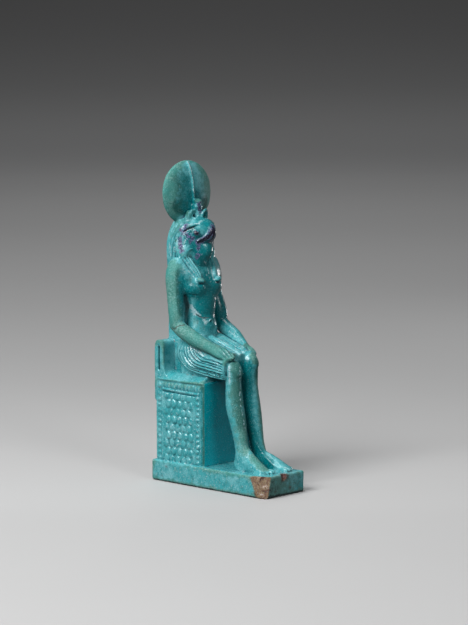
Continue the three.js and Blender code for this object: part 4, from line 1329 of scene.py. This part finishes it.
def glaze_marks(points, clay, broken):
    """How strongly each thing that changes the glaze acts on every point, from 0 to 1."""
    fine, broad = softened(clay.depth, 0.34), softened(clay.depth, 1.4)
    thinning = 4
    coarse = np.ascontiguousarray(broad[::thinning, ::thinning, ::thinning])
    wide = softened(coarse, 4.0, STEP * thinning)
    rise = sampled(fine, points)

    x, y, z = points.T
    aside = np.abs(x)
    # The throne's front, in the shade of the thighs and shins, gets the thick-glaze-and-shade colour in
    # full: partly thick glaze, partly painted shade
    front = within(y, -2, THRONE["front"] + 0.3) * within(z, 8, 41) * within(aside, high=9.5)
    face = within(y, high=15.5) * within(z, 82, 104)
    torso = within(y, high=15.5) * within(z, 58.5, 82) * within(aside, high=8.8)
    shins = within(y, high=-5) * within(z, 14, 46)
    panel = within(aside, 9.2) * within(y, 3, 26.4) * within(z, 8.4, 38)
    base_front = within(y, high=0.7 - BASE["half"][1])
    base_side = within(aside, 10.4) * within(z, high=8.2)

    raised = np.clip(sampled(broad, points) - 0.12, 0, 1)
    raised *= 1 - 0.75 * (face + torso) - 0.9 * shins
    worn = raised + marked(points, RUBBED + both(RUBBED_BOTH)) + 0.3 * base_side
    # Wide hollows, found by blurring the clay over 4 mm, are darkened: painted shade, with the thick
    # glaze that gathers there
    sunk = np.clip(-sampled(wide, points, STEP * thinning) * 0.5, 0, 1)
    deep = np.maximum(sunk, marked(points, POOLED_AND_SHADED + both(POOLED_AND_SHADED_BOTH))) * 0.9
    violet = 0.8 * marked(points, VIOLET_MARKS, clay)
    powdery = panel * np.clip(0.15 + rise * 4.0, 0, 0.58)
    return {
        # The crevices, darkened partly for thick glaze and partly as painted shade
        "hollow": np.clip(-rise * 7.0, 0, 1),
        "worn": worn * (1 - 0.75 * front),
        "deep": np.maximum(deep, front),
        "violet": np.maximum(marked(points, VIOLET + both(VIOLET_BOTH)), violet),
        # Whitish deposit on the base's sides and the tops of the scales, and painted highlights and
        # glints along the lines above
        "bloom_and_highlight": np.maximum(0.8 * marked(points, BLOOM_AND_HIGHLIGHTS, clay), np.maximum(0.42 * base_side, powdery)),
        "core": np.clip(1.6 - np.abs(sampled(broken, points)) / 0.18, 0, 1),
        "stain": marked(points, STAIN, clay),
        # Darker on the base's front, more so towards the right side, and a painted contact shadow along
        # the bottom edge
        "base_dark_and_shadow": base_front * np.clip(0.5 - 0.03 * x, 0, 1) + np.clip(1.5 - z / 0.8, 0, 1),
    }


def painted(mesh, clay, broken):
    """Puts the marks for the glaze on the mesh's points, and brings it from millimetres to metres."""
    points = np.empty(len(mesh.vertices) * 3)
    mesh.vertices.foreach_get("co", points)
    points = points.reshape(-1, 3)
    for name, values in glaze_marks(points, clay, broken).items():
        mesh.attributes.new(name, "FLOAT", "POINT").data.foreach_set(
            "value", np.clip(values, 0, 1).astype(np.float32))
    mesh.vertices.foreach_set("co", (points * MM).ravel())
    mesh.update()


def make_statuette():
    """The whole piece: its forms, its relief, its wear and breaks, and its glaze."""
    clay = Clay()
    add_wig(clay)
    add_base(clay)
    add_throne(clay)
    add_web(clay)
    add_kilt(clay)
    add_torso(clay)
    add_pleats(clay)
    for side in SIDES:
        add_leg(clay, side)
        add_arm(clay, side)
    add_face(clay)
    add_crown(clay)
    add_lappets(clay)
    add_strands(clay)
    for side in SIDES:
        add_side_panel(clay, side)
    carve_lines(clay)
    clay.depth = softened(clay.depth, 0.14)
    clay.depth += 0.04 * ROUGH + 0.025 * FINE
    broken = break_corner(clay)
    under_the_floor = block(clay, (-20, -40, -4), (20, 40, 0), 0.05)
    clay.cut(under_the_floor, 0)
    mesh = finished_mesh(clay)
    painted(mesh, clay, broken)
    mesh.materials.clear()
    mesh.materials.append(faience)
    mesh.shade_smooth()
    return shown("statuette_glazed_faience", mesh)


# Camera, light and floor

CAMERA_PLACE = (-0.57655, -0.53763, 0.15581)
LENS, SENSOR = 124.2, 36
NEAREST, FARTHEST = 0.05, 30

# The room's own faint light, and the lamps: name, place, aim, width and height, and power
ROOM_COLOUR, ROOM_STRENGTH = (0.97, 0.98, 1, 1), 0.1
LIGHTS = [
    ("key", (-0.75, -0.03, 0.66), (0, 0, 0.05), (0.55, 0.55), 11.5),
    ("overhead", (-0.05, 0.25, 0.95), (0, 0.05, 0), (0.5, 0.5), 3.0),
    ("backdrop", (1.05, 1.0, 1.1), (1.25, 1.15, 0), (0.6, 0.6), 4.5),
    ("front", (-0.2, -0.9, 0.6), (0, 0, 0.06), (0.3, 0.3), 2.2),
    ("rim", (0.66, 0.06, 0.04), (0, 0, 0.03), (0.04, 0.14), 0.4),
]

# The backdrop paper from the near edge of the floor to the top of the wall: how far ahead of the
# figure, how high, and how pale it is painted there, as painted shade that is darkest up the wall;
# and how far it reaches to each side
BACKDROP = [
    (-0.9, 0, 0.44), (-0.16, 0, 0.463), (-0.02, 0, 0.497), (0.1, 0, 0.473), (0.27, 0, 0.425),
    (0.52, 0, 0.422), (0.92, 0, 0.42), (1.35, 0, 0.366), (1.86, 0, 0.386), (2.4, 0, 0.5),
    (2.75, 0.03, 0.46), (2.93, 0.12, 0.28), (3.0, 0.25, 0.18), (3.03, 0.5, 0.16), (3.03, 1.6, 0.15),
]
BACKDROP_REACH = 2.5


def place_and_aim(thing, place, direction):
    thing.location = place
    thing.rotation_mode = "QUATERNION"
    thing.rotation_quaternion = direction.to_track_quat("-Z", "Y")


def set_camera():
    camera = shown("camera", bpy.data.cameras.new("camera"))
    bpy.context.scene.camera = camera
    camera.data.lens, camera.data.sensor_width = LENS, SENSOR
    camera.data.clip_start, camera.data.clip_end = NEAREST, FARTHEST
    place_and_aim(camera, CAMERA_PLACE, Vector(VIEW).normalized())


def set_lights():
    bpy.context.scene.view_settings.view_transform = "Standard"
    world = bpy.data.worlds.new("soft_room_light")
    bpy.context.scene.world = world
    world.use_nodes = True
    world.node_tree.nodes["Background"].inputs["Color"].default_value = ROOM_COLOUR
    world.node_tree.nodes["Background"].inputs["Strength"].default_value = ROOM_STRENGTH
    for name, place, aim, size, power in LIGHTS:
        light = bpy.data.lights.new(name, "AREA")
        light.shape = "RECTANGLE"
        light.size, light.size_y = size
        light.energy = power
        place_and_aim(shown(name, light), place, Vector(aim) - Vector(place))


def make_floor():
    """The floor, which sweeps up into the backdrop, square to the main view, painted paler or darker row
    by row as painted shade, darkest up the wall.
    """
    mesh = bpy.data.meshes.new("floor")
    heading = Vector(VIEW[:2]).normalized()
    aside = Vector((-heading.y, heading.x))
    rows = drawn(BACKDROP, 112)
    points, faces = [], []
    for ahead, height, _ in rows:
        for sideways in (-BACKDROP_REACH, BACKDROP_REACH):
            spot = heading * ahead + aside * sideways
            points.append((spot.x, spot.y, max(height, 0.0)))
    for i in range(len(rows) - 1):
        faces.append((2 * i, 2 * i + 1, 2 * i + 3, 2 * i + 2))
    mesh.from_pydata(points, [], faces)
    mesh.attributes.new("painted_falloff", "FLOAT", "POINT").data.foreach_set(
        "value", np.repeat(rows[:, 2], 2).astype(np.float32))
    mesh.materials.append(make_paper())
    mesh.shade_smooth()
    floor = shown("floor", mesh)
    floor.visible_diffuse = False
    floor.visible_glossy = False


faience = make_faience()
RIDGES, DROPS = ridge_tree(), field_tree()
ROUGH, FINE = grain(2.6, 4), grain(0.8, 9)

set_camera()
set_lights()
make_floor()
statuette = make_statuette()
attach(statuette, "root")
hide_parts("statuette")
